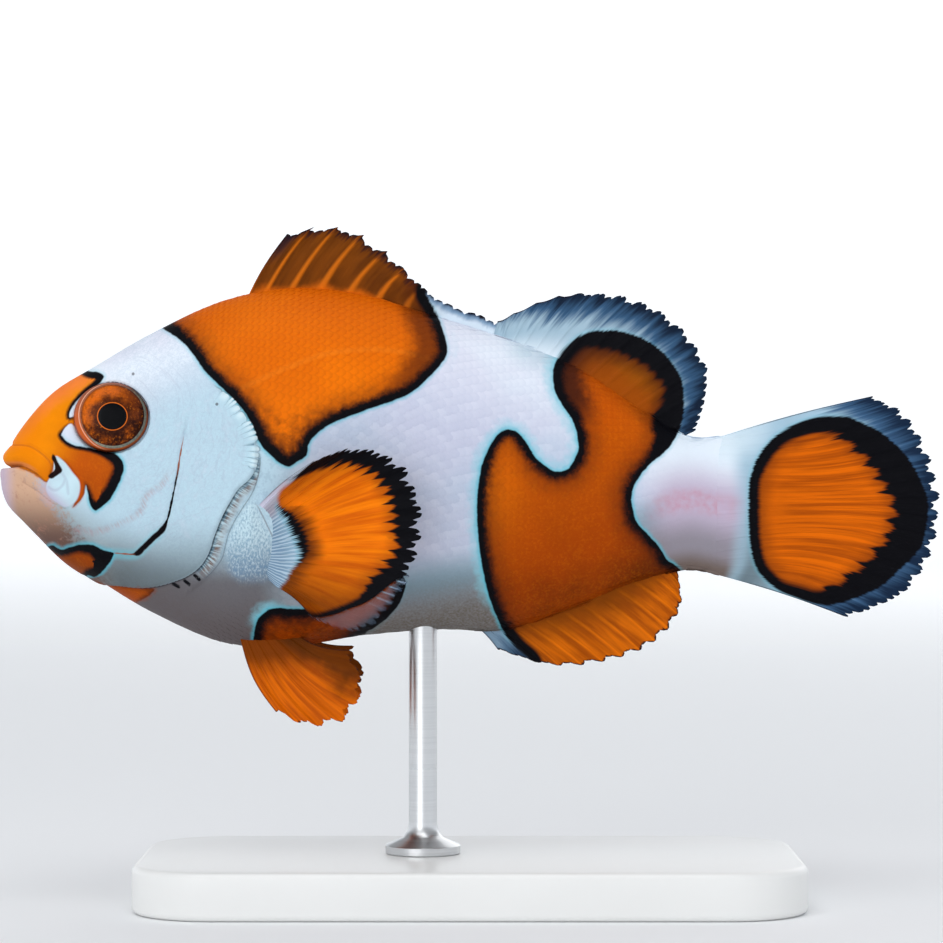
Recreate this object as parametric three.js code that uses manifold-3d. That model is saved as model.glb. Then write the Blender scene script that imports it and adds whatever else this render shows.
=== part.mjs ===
// A clownfish, Amphiprion percula, as a life-size museum model on a plain stand.
//
// Frame: millimetres, +Z up. The snout points along -X, the tail along +X, and the fish's
// left side faces -Y. The origin is the centre of the stand's underside.
//
// The fish is laid out in side view: x is measured back from the snout and z from the level
// of the mouth. One body is lofted through named stations, then parted into head, lips, gill
// covers, trunk and tail stalk by thin cuts, and the fins are fans of rays set round it.

import * as THREE from "three";
import { mergeVertices } from "three/addons/utils/BufferGeometryUtils.js";
import Module from "manifold-3d";

const wasm = await Module();
wasm.setup();

// ---------------------------------------------------------------- driving dimensions

const FISH_LENGTH = 80; // snout to the end of the tail fin
const MOUTH_HEIGHT = 36.5; // mouth above the floor
const CUT = 0.3; // width of every parting cut
const GILL_PROUD = 0.4; // how far a gill cover stands out of the flank
const GILL_THICK = 1.5; // thickness of a gill cover

const FIN_EDGE = 0.5; // thickness of a fin at its margin
const FIN_SWAY = 0.35; // how far the margin of a fin on the midline sways to either side

// The eyeball is a flattened ball: its middle, radius in side view, half depth across the
// head, and the turn in radians by which it looks forward and up.
const EYE = { x: 9.9, y: 3.95, z: 4.5, radius: 3.05, depth: 1.85, turn: 0.2 };

const BASE = { length: 56, width: 30, height: 4, corner: 7, edge: 0.6 };
const ROD = { radius: 1.2, foot: 3.2, footHeight: 0.8, neck: 2.6, x: 36, insert: 3.2 };

const ROUND = 28; // faces round a body section
const RINGS = 32; // sections along the body

// ---------------------------------------------------------------- body stations

// Each station gives the outline there: distance from the snout, back, belly and half width.
const STATIONS = [
  { name: "tip of the lips", x: 0.0, top: -0.5, bottom: -0.5, half: 0 },
  { name: "lips", x: 0.5, top: 1.6, bottom: -2.7, half: 1.7 },
  { name: "snout", x: 2.1, top: 4.2, bottom: -4.5, half: 2.9 },
  { name: "chin", x: 4.6, top: 6.9, bottom: -6.9, half: 4.1 },
  { name: "front of the eye", x: 8.0, top: 9.0, bottom: -9.1, half: 5.2 },
  { name: "cheek", x: 13.0, top: 11.9, bottom: -12.1, half: 6.4 },
  { name: "nape", x: 19.0, top: 14.6, bottom: -14.6, half: 7.2 },
  { name: "shoulder", x: 25.0, top: 15.7, bottom: -14.9, half: 7.4 },
  { name: "deepest part", x: 31.0, top: 15.1, bottom: -14.0, half: 7.0 },
  { name: "belly", x: 37.0, top: 13.3, bottom: -13.5, half: 6.1 },
  { name: "vent", x: 43.0, top: 11.4, bottom: -13.5, half: 4.9 },
  { name: "rear flank", x: 49.0, top: 9.2, bottom: -11.6, half: 3.7 },
  { name: "end of the fins", x: 54.0, top: 6.0, bottom: -9.6, half: 2.8 },
  { name: "stalk", x: 58.5, top: 3.1, bottom: -8.4, half: 2.15 },
  { name: "root of the tail", x: 62.6, top: 3.1, bottom: -9.1, half: 1.6 },
  { name: "tail plate", x: 65.6, top: 1.6, bottom: -7.8, half: 1.1 },
  { name: "end of the tail plate", x: 67.0, top: -3.1, bottom: -3.1, half: 0 },
];
const LAST = STATIONS.length - 1;

// Station i, with a mirrored one beyond each end so that both ends close in a round nose.
function stationAt(i) {
  if (i >= 0 && i <= LAST) return STATIONS[i];
  const m = STATIONS[i < 0 ? -i : 2 * LAST - i];
  return { x: m.x, top: m.bottom, bottom: m.top, half: -m.half };
}

// Catmull-Rom through four neighbouring values.
function spline4(a, b, c, d, f) {
  return b + 0.5 * f * (c - a + f * (2 * a - 5 * b + 4 * c - d + f * (3 * (b - c) + d - a)));
}

// The outline at t, counted in stations from 0 to LAST.
function outlineAt(t) {
  const i = Math.min(Math.floor(t), LAST - 1);
  const near = [-1, 0, 1, 2].map((k) => stationAt(i + k));
  const value = (key) => spline4(...near.map((s) => s[key]), t - i);
  return { x: value("x"), top: value("top"), bottom: value("bottom"), half: value("half") };
}

// The height of the belly a given way back from the snout.
function bellyAt(x) {
  let [low, high] = [0, LAST];
  for (let step = 0; step < 20; step++) {
    const middle = (low + high) / 2;
    if (outlineAt(middle).x < x) low = middle;
    else high = middle;
  }
  return outlineAt(low).bottom;
}

// A section is an ellipse in front, and is pinched towards the back and belly behind.
function pinchAt(x) {
  return 1 + 0.25 * THREE.MathUtils.smoothstep(x, 22, 58);
}

// ---------------------------------------------------------------- solids and their meshes

function solidOf(geometry) {
  const bare = geometry.clone();
  bare.deleteAttribute("normal");
  bare.deleteAttribute("uv");
  const merged = mergeVertices(bare, 1e-4);
  return new wasm.Manifold(
    new wasm.Mesh({
      numProp: 3,
      vertProperties: new Float32Array(merged.getAttribute("position").array),
      triVerts: new Uint32Array(merged.index.array),
    }),
  );
}

function geometryOf(solid) {
  const { vertProperties, triVerts } = solid.getMesh();
  const geometry = new THREE.BufferGeometry();
  geometry.setAttribute("position", new THREE.BufferAttribute(vertProperties, 3));
  geometry.setIndex(new THREE.BufferAttribute(triVerts, 1));
  geometry.computeVertexNormals();
  return geometry;
}

// Moves each vertex of a geometry to where place(position, uv) puts it.
function bend(geometry, place) {
  const position = geometry.getAttribute("position");
  const uv = geometry.getAttribute("uv");
  const from = new THREE.Vector3();
  for (let i = 0; i < position.count; i++) {
    from.fromBufferAttribute(position, i);
    const to = place(from, { u: uv.getX(i), v: uv.getY(i) });
    position.setXYZ(i, to.x, to.y, to.z);
  }
  return geometry;
}

// The whole body without fins: a sphere bent through the stations and grown by a margin.
function bodySolid(margin = 0) {
  const body = bend(new THREE.SphereGeometry(1, ROUND, RINGS), (from, { u, v }) => {
    const o = outlineAt((1 - v) * LAST);
    const angle = u * 2 * Math.PI;
    const open = o.half > 1e-6 ? margin : 0;
    const middle = (o.top + o.bottom) / 2;
    const rise = (o.top - o.bottom) / 2 + open;
    const side = Math.abs(Math.sin(angle)) ** pinchAt(o.x) * Math.sign(Math.sin(angle));
    const end = v === 1 ? -margin : v === 0 ? margin : 0;
    return new THREE.Vector3(
      o.x + end,
      (o.half + open) * side,
      middle + rise * Math.cos(angle),
    );
  });
  return outward(solidOf(body));
}

// A solid with its faces pointing out, whichever way its vertices were bent.
function outward(solid) {
  if (solid.volume() > 0) return solid;
  const { vertProperties, triVerts } = solid.getMesh();
  return new wasm.Manifold(
    new wasm.Mesh({ numProp: 3, vertProperties, triVerts: triVerts.reverse() }),
  );
}

// A side-view outline, carried across the body from one depth to another.
function sideways(points, from, to) {
  const shape = new THREE.Shape(points);
  const slab = new THREE.ExtrudeGeometry(shape, { depth: to - from, bevelEnabled: false });
  slab.rotateX(Math.PI / 2).translate(0, to, 0);
  return outward(solidOf(slab));
}

// A smooth line through a few points, sampled evenly.
function smooth(points, count, closed = false) {
  const curve = new THREE.CatmullRomCurve3(
    points.map(([x, z]) => new THREE.Vector3(x, z, 0)),
    closed,
  );
  const dots = curve.getPoints(count).map((p) => new THREE.Vector2(p.x, p.y));
  if (closed) dots.pop();
  return dots;
}

// Everything in front of a parting line, which runs from the back down to the belly.
function frontOf(line, shift = 0) {
  const dots = smooth(line, 14).map((p) => new THREE.Vector2(p.x + shift, p.y));
  const far = 25;
  const above = [new THREE.Vector2(-far, far), new THREE.Vector2(dots[0].x, far)];
  const below = [new THREE.Vector2(dots.at(-1).x, -far), new THREE.Vector2(-far, -far)];
  return sideways([...above, ...dots, ...below], -far, far);
}

// A closed outline moved outwards by a margin, square to its own run.
function grown(dots, margin) {
  const turn = THREE.ShapeUtils.isClockWise(dots) ? -1 : 1;
  return dots.map((p, i) => {
    const run = dots[(i + 1) % dots.length].clone().sub(dots.at(i - 1));
    return new THREE.Vector2(run.y, -run.x).setLength(turn * margin).add(p);
  });
}

// ---------------------------------------------------------------- head

const body = bodySolid();
const clearance = bodySolid(CUT);

const NAPE_LINE = [[15.5, 18], [18.4, 9.5], [20.2, 2], [18.6, -5], [14.2, -11], [12.2, -17]];
const MIDDLE_LINE = [[42.3, 18], [40.6, 8], [39.6, 0], [40.2, -8], [42.2, -18]];
const STALK_LINE = [[58.6, 8], [56.6, 0], [57.0, -5], [57.0, -12]];

// The mouth slit runs back and down from the front of the lips to the corner of the mouth.
const MOUTH_SLIT = [[-2, 0.7], [0.6, 0.45], [2.9, -0.1], [4.4, -1.7]];

function lipOutline() {
  const top = [[4.9, -0.6], [4.1, 1.2], [2.6, 2.2], [0.9, 2.5], [-2, 2.7]];
  return [...smooth(MOUTH_SLIT, 6), ...smooth(top, 6)];
}

function jawOutline() {
  const under = smooth(MOUTH_SLIT, 6).map((p) => new THREE.Vector2(p.x, p.y - CUT));
  const hinge = smooth([[5.9, -3.6], [7.4, -6.2], [7.9, -12]], 4);
  return [...under, ...hinge, new THREE.Vector2(-2, -12)];
}

// A gill cover reaches from the groove behind the cheek to its free edge over the shoulder.
const GILL_EDGE = [
  [16.6, 7.0], [19.4, 6.5], [21.5, 4.3], [21.9, 1.4], [20.0, -2.2], [18.2, -6.0],
  [16.3, -8.6], [13.0, -9.7], [9.6, -8.8], [9.5, -7.3], [12.2, -6.8], [14.3, -3.6],
  [15.3, 1.0], [15.6, 4.6],
];

function gillOutline() {
  return smooth(GILL_EDGE, 34, true);
}

// side is -1 for the fish's left and 1 for its right.
function gillCover(side) {
  const plate = sideways(gillOutline(), ...[0, 20 * side].sort((a, b) => a - b));
  const shell = bodySolid(GILL_PROUD).subtract(bodySolid(GILL_PROUD - GILL_THICK));
  return largest(plate.intersect(shell));
}

function gillPocket(side) {
  const room = sideways(grown(gillOutline(), CUT), ...[0, 20 * side].sort((a, b) => a - b));
  return room.subtract(bodySolid(GILL_PROUD - GILL_THICK - CUT));
}

// The one body that a cut is meant to leave, without its crumbs.
function largest(solid) {
  return solid.decompose().sort((a, b) => b.volume() - a.volume())[0];
}

function eyeSolid(side, margin = 0) {
  const ball = new THREE.SphereGeometry(1, 16, 9)
    .rotateX(Math.PI / 2)
    .scale(EYE.radius + margin, EYE.depth + margin, EYE.radius + margin)
    .rotateZ(-EYE.turn * side)
    .rotateX(EYE.turn * side)
    .translate(EYE.x, EYE.y * side, EYE.z);
  return solidOf(ball);
}

// ---------------------------------------------------------------- fins

// Every fin is a box bent into a fan: its rays run from a root line to a tip line, both from
// front to back, and each of them bows. Between two rays the membrane falls short of their
// tips by the scallop, a share of the ray's length. A fin is as thick as `base` at its root.
const FINS = {
  dorsal_fin_front: {
    root: [[20.7, 13.9], [29, 14.4], [36, 12.3], [42.0, 10.2]],
    tips: [[24.1, 20.4], [28.7, 21.2], [33.3, 18.4], [37.1, 15.0], [42.3, 12.9]],
    rays: 10,
    scallop: 0.1,
    bow: 0.3,
    base: 0.9,
  },
  dorsal_fin_rear: {
    root: [[42.4, 10.1], [48, 8.4], [53, 5.2], [57.4, 2.2]],
    tips: [[42.8, 12.9], [47.4, 14.8], [52.4, 15.2], [57.2, 13.1], [60.1, 8.7], [59.1, 3.5]],
    rays: 15,
    scallop: 0.04,
    bow: 0.2,
    base: 0.9,
  },
  anal_fin: {
    root: [[39.7, -12.6], [48, -10.4], [53, -8.4], [56.6, -7.2]],
    tips: [[42.4, -15.2], [47.0, -16.6], [51.8, -16.2], [55.6, -14.7], [58.0, -11.8], [57.8, -9.0]],
    rays: 14,
    scallop: 0.05,
    bow: 0.2,
    base: 0.9,
  },
  tail_fin: {
    root: [[61.0, 2.6], [64.2, 1.2], [65.6, -3.1], [64.2, -7.4], [61.0, -8.6]],
    tips: [
      [72.8, 6.5], [77.2, 5.2], [79.4, 1.0], [80.0, -3.3], [79.0, -8.0], [76.0, -11.6], [70.8, -12.7],
    ],
    rays: 16,
    scallop: 0.03,
    bow: 0,
    base: 1.1,
  },
};

// A paired fin also leaves the flank: `near` and `far` are how far its root and its margin
// lie from the middle plane.
const PAIRED_FINS = {
  pectoral_fin: {
    root: [[21.9, -3.4], [23.4, -5.2], [23.7, -7.6], [22.8, -9.6]],
    tips: [
      [27.2, 0.9], [30.7, 2.1], [34.2, 1.1], [36.2, -2.2], [36.1, -6.2], [34.6, -10.2],
      [30.8, -12.4], [27.0, -11.8],
    ],
    rays: 16,
    scallop: 0.03,
    bow: 0.3,
    base: 1.6,
    near: 6.2,
    far: 11.2,
  },
  pelvic_fin: {
    root: [[20.0, -14.0], [22.4, -13.8], [24.6, -13.6], [26.2, -13.4]],
    tips: [[23.8, -20.3], [26.6, -21.6], [29.6, -21.1], [31.2, -18.4], [30.2, -15.0]],
    rays: 7,
    scallop: 0.07,
    bow: -0.5,
    base: 1.0,
    near: 1.7,
    far: 4.0,
  },
};

// A point of a fin's middle sheet in side view, s across the rays and t out along them.
function finPoint(fin, lines, s, t) {
  const root = lines.root.getPoint(s);
  const ray = lines.tips.getPoint(s).sub(root);
  const dip = fin.scallop * Math.abs(Math.sin(s * (fin.rays - 1) * Math.PI));
  const across = new THREE.Vector2(-ray.y, ray.x).normalize();
  return root
    .addScaledVector(ray, t * (1 - dip))
    .addScaledVector(across, fin.bow * Math.sin(Math.PI * t));
}

function splineOf(points) {
  return new THREE.SplineCurve(points.map(([x, z]) => new THREE.Vector2(x, z)));
}

// side is -1 or 1 for a paired fin, and 0 for one on the midline, which sways a little.
function finSolid(fin, side = 0) {
  const lines = { root: splineOf(fin.root), tips: splineOf(fin.tips) };
  const across = 2 * (fin.rays - 1);
  const along = 2;
  const fan = bend(new THREE.BoxGeometry(1, 1, 1, across, along, 1), (from) => {
    const s = from.x + 0.5;
    const t = from.y + 0.5;
    const p = finPoint(fin, lines, s, t);
    const thick = THREE.MathUtils.lerp(fin.base, FIN_EDGE, Math.sqrt(t));
    const middle = side
      ? side * THREE.MathUtils.lerp(fin.near, fin.far, t)
      : FIN_SWAY * t * t * Math.sin(7 * s);
    return new THREE.Vector3(p.x, middle + from.z * thick, p.y);
  });
  return largest(outward(solidOf(fan)).subtract(clearance));
}

// ---------------------------------------------------------------- stand

function roundedPlate({ length, width, corner }) {
  const [x, y] = [length / 2, width / 2];
  const plate = new THREE.Shape();
  plate.moveTo(corner - x, -y);
  plate.absarc(x - corner, corner - y, corner, -Math.PI / 2, 0);
  plate.absarc(x - corner, y - corner, corner, 0, Math.PI / 2);
  plate.absarc(corner - x, y - corner, corner, Math.PI / 2, Math.PI);
  plate.absarc(corner - x, corner - y, corner, Math.PI, 1.5 * Math.PI);
  return plate;
}

function baseGeometry() {
  const { edge, height, length, width, corner } = BASE;
  const inner = roundedPlate({
    length: length - 2 * edge,
    width: width - 2 * edge,
    corner: corner - edge,
  });
  const plate = new THREE.ExtrudeGeometry(inner, {
    depth: height - 2 * edge,
    bevelThickness: edge,
    bevelSize: edge,
    bevelSegments: 2,
    curveSegments: 5,
  });
  return plate.translate(0, 0, edge);
}

// The rod with its turned foot. Its top is let into the belly, in a hole wider by the margin.
function rodGeometry(top, margin = 0) {
  const radius = ROD.radius + margin;
  const profile = [
    [0, 0], [ROD.foot, 0], [ROD.foot, ROD.footHeight], [radius + 0.5, ROD.footHeight + 0.6],
    [radius, ROD.neck], [radius, top + margin], [0, top + margin],
  ];
  return new THREE.LatheGeometry(profile.map(([r, z]) => new THREE.Vector2(r, z)), 18)
    .rotateX(Math.PI / 2);
}

// ---------------------------------------------------------------- assembly

const FINISHES = {
  orange: { color: 0xe87412, roughness: 0.45, metalness: 0 },
  pale: { color: 0xdde8f2, roughness: 0.4, metalness: 0 },
  iris: { color: 0x7a3410, roughness: 0.12, metalness: 0 },
  lacquer: { color: 0xd9d9d6, roughness: 0.35, metalness: 0 },
  steel: { color: 0xb9bcc0, roughness: 0.28, metalness: 1 },
};

function named(name, geometry, finish) {
  const mesh = new THREE.Mesh(geometry, new THREE.MeshStandardMaterial(FINISHES[finish]));
  mesh.name = name;
  return mesh;
}

const fish = new THREE.Group();
fish.position.set(-FISH_LENGTH / 2, 0, MOUTH_HEIGHT);

const rodTop = MOUTH_HEIGHT + bellyAt(ROD.x) + ROD.insert - BASE.height;
const rod = outward(solidOf(rodGeometry(rodTop)));
const rodRoom = outward(solidOf(rodGeometry(rodTop, CUT)))
  .translate(ROD.x, 0, BASE.height - MOUTH_HEIGHT);

const lip = sideways(lipOutline(), -20, 20);
const jaw = sideways(jawOutline(), -20, 20);
const lipRoom = sideways(grown(lipOutline(), CUT), -20, 20);
const jawRoom = sideways(grown(jawOutline(), CUT), -20, 20);
const pockets = gillPocket(-1).add(gillPocket(1));
const sockets = eyeSolid(-1, CUT).add(eyeSolid(1, CUT));

const flesh = {
  upper_lip: body.intersect(lip).subtract(jawRoom),
  lower_jaw: body.intersect(jaw),
  head: body
    .intersect(frontOf(NAPE_LINE))
    .subtract(lipRoom)
    .subtract(jawRoom)
    .subtract(pockets)
    .subtract(sockets),
  trunk_front: body
    .subtract(frontOf(NAPE_LINE, CUT))
    .intersect(frontOf(MIDDLE_LINE))
    .subtract(pockets)
    .subtract(rodRoom),
  trunk_rear: body.subtract(frontOf(MIDDLE_LINE, CUT)).intersect(frontOf(STALK_LINE)),
  tail_stalk: body.subtract(frontOf(STALK_LINE, CUT)),
};
const ORANGE_FLESH = ["upper_lip", "trunk_rear"];
for (const [name, solid] of Object.entries(flesh)) {
  const finish = ORANGE_FLESH.includes(name) ? "orange" : "pale";
  fish.add(named(name, geometryOf(largest(solid)), finish));
}

for (const [name, fin] of Object.entries(FINS)) {
  fish.add(named(name, geometryOf(finSolid(fin)), "orange"));
}

for (const [sideName, side] of [["left", -1], ["right", 1]]) {
  fish.add(named(`gill_cover_${sideName}`, geometryOf(gillCover(side)), "pale"));
  fish.add(named(`eye_${sideName}`, geometryOf(eyeSolid(side)), "iris"));
  for (const [name, fin] of Object.entries(PAIRED_FINS)) {
    fish.add(named(`${name}_${sideName}`, geometryOf(finSolid(fin, side)), "orange"));
  }
}

const stand = new THREE.Group();
stand.add(named("stand_base", baseGeometry(), "lacquer"));
const rodMesh = named("stand_rod", geometryOf(rod), "steel");
rodMesh.position.set(ROD.x - FISH_LENGTH / 2, 0, BASE.height);
stand.add(rodMesh);

const model = new THREE.Group();
model.add(fish, stand);

export default model;
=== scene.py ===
# %% [markdown]
# # A clownfish on a display stand
# The solids of the fish and its stand are already made and packed. They say where everything is.
# This lesson dresses them: one skin with a sculpted head, overlapping scales, ribbed fins, glossy eyes,
# and a lacquered stand. Every place below is in fish millimetres: x runs back from the snout, y across
# the body and z up from the mouth. One helper turns them into the frame's metres.

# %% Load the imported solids
import math

import bmesh
import bpy
import numpy as np
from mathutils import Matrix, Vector
from mathutils.bvhtree import BVHTree


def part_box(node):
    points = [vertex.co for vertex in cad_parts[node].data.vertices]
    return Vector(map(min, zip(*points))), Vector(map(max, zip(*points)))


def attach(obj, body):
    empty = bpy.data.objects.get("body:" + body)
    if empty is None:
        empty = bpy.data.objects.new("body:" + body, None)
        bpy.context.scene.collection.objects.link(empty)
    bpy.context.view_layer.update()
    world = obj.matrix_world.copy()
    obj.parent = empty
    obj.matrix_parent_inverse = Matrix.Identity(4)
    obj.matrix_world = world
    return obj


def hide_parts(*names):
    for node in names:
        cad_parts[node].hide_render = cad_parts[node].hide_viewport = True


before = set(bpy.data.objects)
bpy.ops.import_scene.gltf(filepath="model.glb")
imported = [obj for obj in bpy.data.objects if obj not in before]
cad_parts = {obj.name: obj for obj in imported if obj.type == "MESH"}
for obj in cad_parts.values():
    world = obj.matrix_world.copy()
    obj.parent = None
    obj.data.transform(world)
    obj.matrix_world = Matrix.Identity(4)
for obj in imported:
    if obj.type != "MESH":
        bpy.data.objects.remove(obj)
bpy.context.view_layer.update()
print("solids", sorted(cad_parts))

# %% [markdown]
# The scale and the origin come from three solids, so the dressing follows them if they are resized:
# the jaw starts at the snout, the tail fin ends at the full length, and the eye sits at a known height.

# %% Fish millimetres
FISH_LENGTH = 80.0
EYE = {"y": 3.95, "z": 4.5, "depth": 1.85}
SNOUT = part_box("lower_jaw")[0].x
MM = (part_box("tail_fin")[1].x - SNOUT) / FISH_LENGTH
eye_low, eye_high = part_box("eye_left")
MOUTH = (eye_low.z + eye_high.z) / 2 - EYE["z"] * MM


def to_frame(points):
    """Fish millimetres to the frame's metres."""
    return np.asarray(points, float) * MM + np.array([SNOUT, 0.0, MOUTH])


print(f"snout at {SNOUT * 1000:.2f} mm, mouth at {MOUTH * 1000:.2f} mm, one millimetre is {MM:.6f} m")

# %% [markdown]
# ## Curves and distances
# Markings, creases and fins all follow smooth curves through a few chosen points. A Catmull-Rom curve
# passes through its points, so a maker can place them by eye. The distance from a point to a curve then
# gives both the relief of a crease and the edge of a colour, and it stays sharp between vertices.

# %% Smooth curves through a few points
def blend_four(a, b, c, d, f):
    """Catmull-Rom between b and c at fraction f."""
    return b + 0.5 * f * (c - a + f * (2 * a - 5 * b + 4 * c - d + f * (3 * (b - c) + d - a)))


def curve(points, s):
    """Points at fractions s of the open curve through the given points."""
    points = np.asarray(points, float)
    last = len(points) - 1
    place = np.clip(np.asarray(s, float), 0, 1) * last
    i = np.minimum(place.astype(int), last - 1)
    rows = [points[np.clip(i + step, 0, last)] for step in (-1, 0, 1, 2)]
    return blend_four(*rows, (place - i)[..., None])


def loop(points, steps=6):
    """A closed curve through the given points, with the given number of steps between them."""
    points = np.asarray(points, float)
    f = (np.arange(steps) / steps)[None, :, None]
    rows = [np.roll(points, step, axis=0)[:, None] for step in (1, 0, -1, -2)]
    return blend_four(*rows, f).reshape(-1, points.shape[1])


def smooth(value, low, high):
    """0 below low, 1 above high and an S between them."""
    f = np.clip((np.asarray(value, float) - low) / (high - low), 0, 1)
    return f * f * (3 - 2 * f)


# %% Distances in the side view
REACH = 4.0


def nearest(line, x, z):
    """For each point: distance to the broken line, which side it is on, and where along the line."""
    a = np.asarray(line, float)[:-1]
    edge = np.asarray(line, float)[1:] - a
    length = np.hypot(edge[:, 0], edge[:, 1])
    start = np.concatenate([[0], np.cumsum(length)])[:-1]
    best = np.full(len(x), np.inf)
    side = np.ones(len(x))
    along = np.zeros(len(x))
    number = np.zeros(len(x))
    for k in range(len(a)):
        dx, dz = x - a[k, 0], z - a[k, 1]
        f = np.clip((dx * edge[k, 0] + dz * edge[k, 1]) / max(length[k] ** 2, 1e-9), 0, 1)
        away = np.hypot(dx - f * edge[k, 0], dz - f * edge[k, 1])
        closer = away < best
        best = np.where(closer, away, best)
        side = np.where(closer, np.sign(edge[k, 0] * dz - edge[k, 1] * dx), side)
        along = np.where(closer, start[k] + f * length[k], along)
        number = np.where(closer, k + f, number)
    return best, side, along, number


def inside(ring, x, z):
    """True for the points inside the closed line."""
    hits = np.zeros(len(x), bool)
    for (x0, z0), (x1, z1) in zip(ring, np.roll(ring, -1, axis=0)):
        crosses = (z0 > z) != (z1 > z)
        reach = x0 + (z - z0) / (z1 - z0 if z1 != z0 else 1e-9) * (x1 - x0)
        hits ^= crosses & (x < reach)
    return hits


def region(points, x, z):
    """Signed distance to a closed curve, negative inside, and the rim width beside each point.

    Points further than REACH from the curve's box get that reach, because nobody looks at them."""
    ring = loop(points)
    closed = np.vstack([ring, ring[:1]])
    low, high = ring[:, :2].min(0) - REACH, ring[:, :2].max(0) + REACH
    near = (x > low[0]) & (x < high[0]) & (z > low[1]) & (z < high[1])
    signed = np.full(len(x), REACH)
    rim = np.zeros(len(x))
    away, _, _, number = nearest(closed[:, :2], x[near], z[near])
    signed[near] = np.where(inside(ring[:, :2], x[near], z[near]), -away, away)
    if ring.shape[1] > 2:
        rim[near] = np.interp(number, np.arange(len(closed)), closed[:, 2])
    return signed, rim


# %% [markdown]
# ## The body as a surface
# The body is a row of upright rings: each station gives its distance from the snout, its top, its
# bottom and its half width, and the number of rings that the skin spends up to the next station. The
# head gets most of them, because it carries the fine relief. The same stations made the solids.

# %% Stations from snout to tail
STATIONS = np.array([
    [0.0, -0.5, -0.5, 0.0, 20],
    [0.5, 1.6, -2.7, 1.7, 26],
    [2.1, 4.2, -4.5, 2.9, 24],
    [4.6, 6.9, -6.9, 4.1, 26],
    [8.0, 9.0, -9.1, 5.2, 36],
    [13.0, 11.9, -12.1, 6.4, 42],
    [19.0, 14.6, -14.6, 7.2, 40],
    [25.0, 15.7, -14.9, 7.4, 18],
    [31.0, 15.1, -14.0, 7.0, 14],
    [37.0, 13.3, -13.5, 6.1, 13],
    [43.0, 11.4, -13.5, 4.9, 13],
    [49.0, 9.2, -11.6, 3.7, 11],
    [54.0, 6.0, -9.6, 2.8, 10],
    [58.5, 3.1, -8.4, 2.15, 9],
    [62.6, 3.1, -9.1, 1.6, 8],
    [65.6, 1.6, -7.8, 1.1, 6],
    [67.0, -3.1, -3.1, 0.0, 0],
])
LAST = len(STATIONS) - 1
RINGS = int(STATIONS[:, 4].sum())
FIRST_RINGS = np.concatenate([[0], np.cumsum(STATIONS[:-1, 4])])


def station(i):
    """Rows of the station table, mirrored past the snout and past the tail."""
    k = np.abs(i)
    k = np.where(k > LAST, 2 * LAST - k, k)
    flip = (i < 0) | (i > LAST)
    x, top, bottom, half = STATIONS[k, :4].T
    return np.stack([x, np.where(flip, bottom, top), np.where(flip, top, bottom),
                     np.where(flip, -half, half)], axis=-1)


def body_point(u, angle):
    """Points of the body at station number u and at an angle from the back, in fish millimetres."""
    i = np.minimum(np.floor(u).astype(int), LAST - 1)
    rows = [station(i + step) for step in (-1, 0, 1, 2)]
    x, top, bottom, half = blend_four(*rows, (u - i)[..., None]).T
    pinch = 1 + 0.25 * smooth(x, 22, 58)
    across = half * np.abs(np.sin(angle)) ** pinch * np.sign(np.sin(angle))
    return np.stack([x, across, (top + bottom) / 2 + (top - bottom) / 2 * np.cos(angle)], axis=-1)


STATION_NUMBERS = np.linspace(0, LAST, 1601)
STATION_PLACES = body_point(STATION_NUMBERS, np.full(1601, math.pi / 2))[:, 0]


def station_at(x):
    """Station number at a distance from the snout."""
    return np.interp(x, STATION_PLACES, STATION_NUMBERS)


# %% [markdown]
# ## Markings
# A clownfish has orange fields with black rims on white, and each rim carries a thread of turquoise.
# They could be painted on a texture. Here each field is a closed curve in the side view, and its points
# carry the rim's width wherever it changes. The distance to the curve is stored on the vertices. Skin,
# scales and fins read the same distances, so a rim runs on from one to the next without a step.

# %% The orange fields
def rimmed(points):
    """The points of a field with their rim widths: a point without one has that of the point before it."""
    rows = []
    for point in points:
        rows.append((*point, rows[-1][2]) if len(point) == 2 else point)
    return rows


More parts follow.
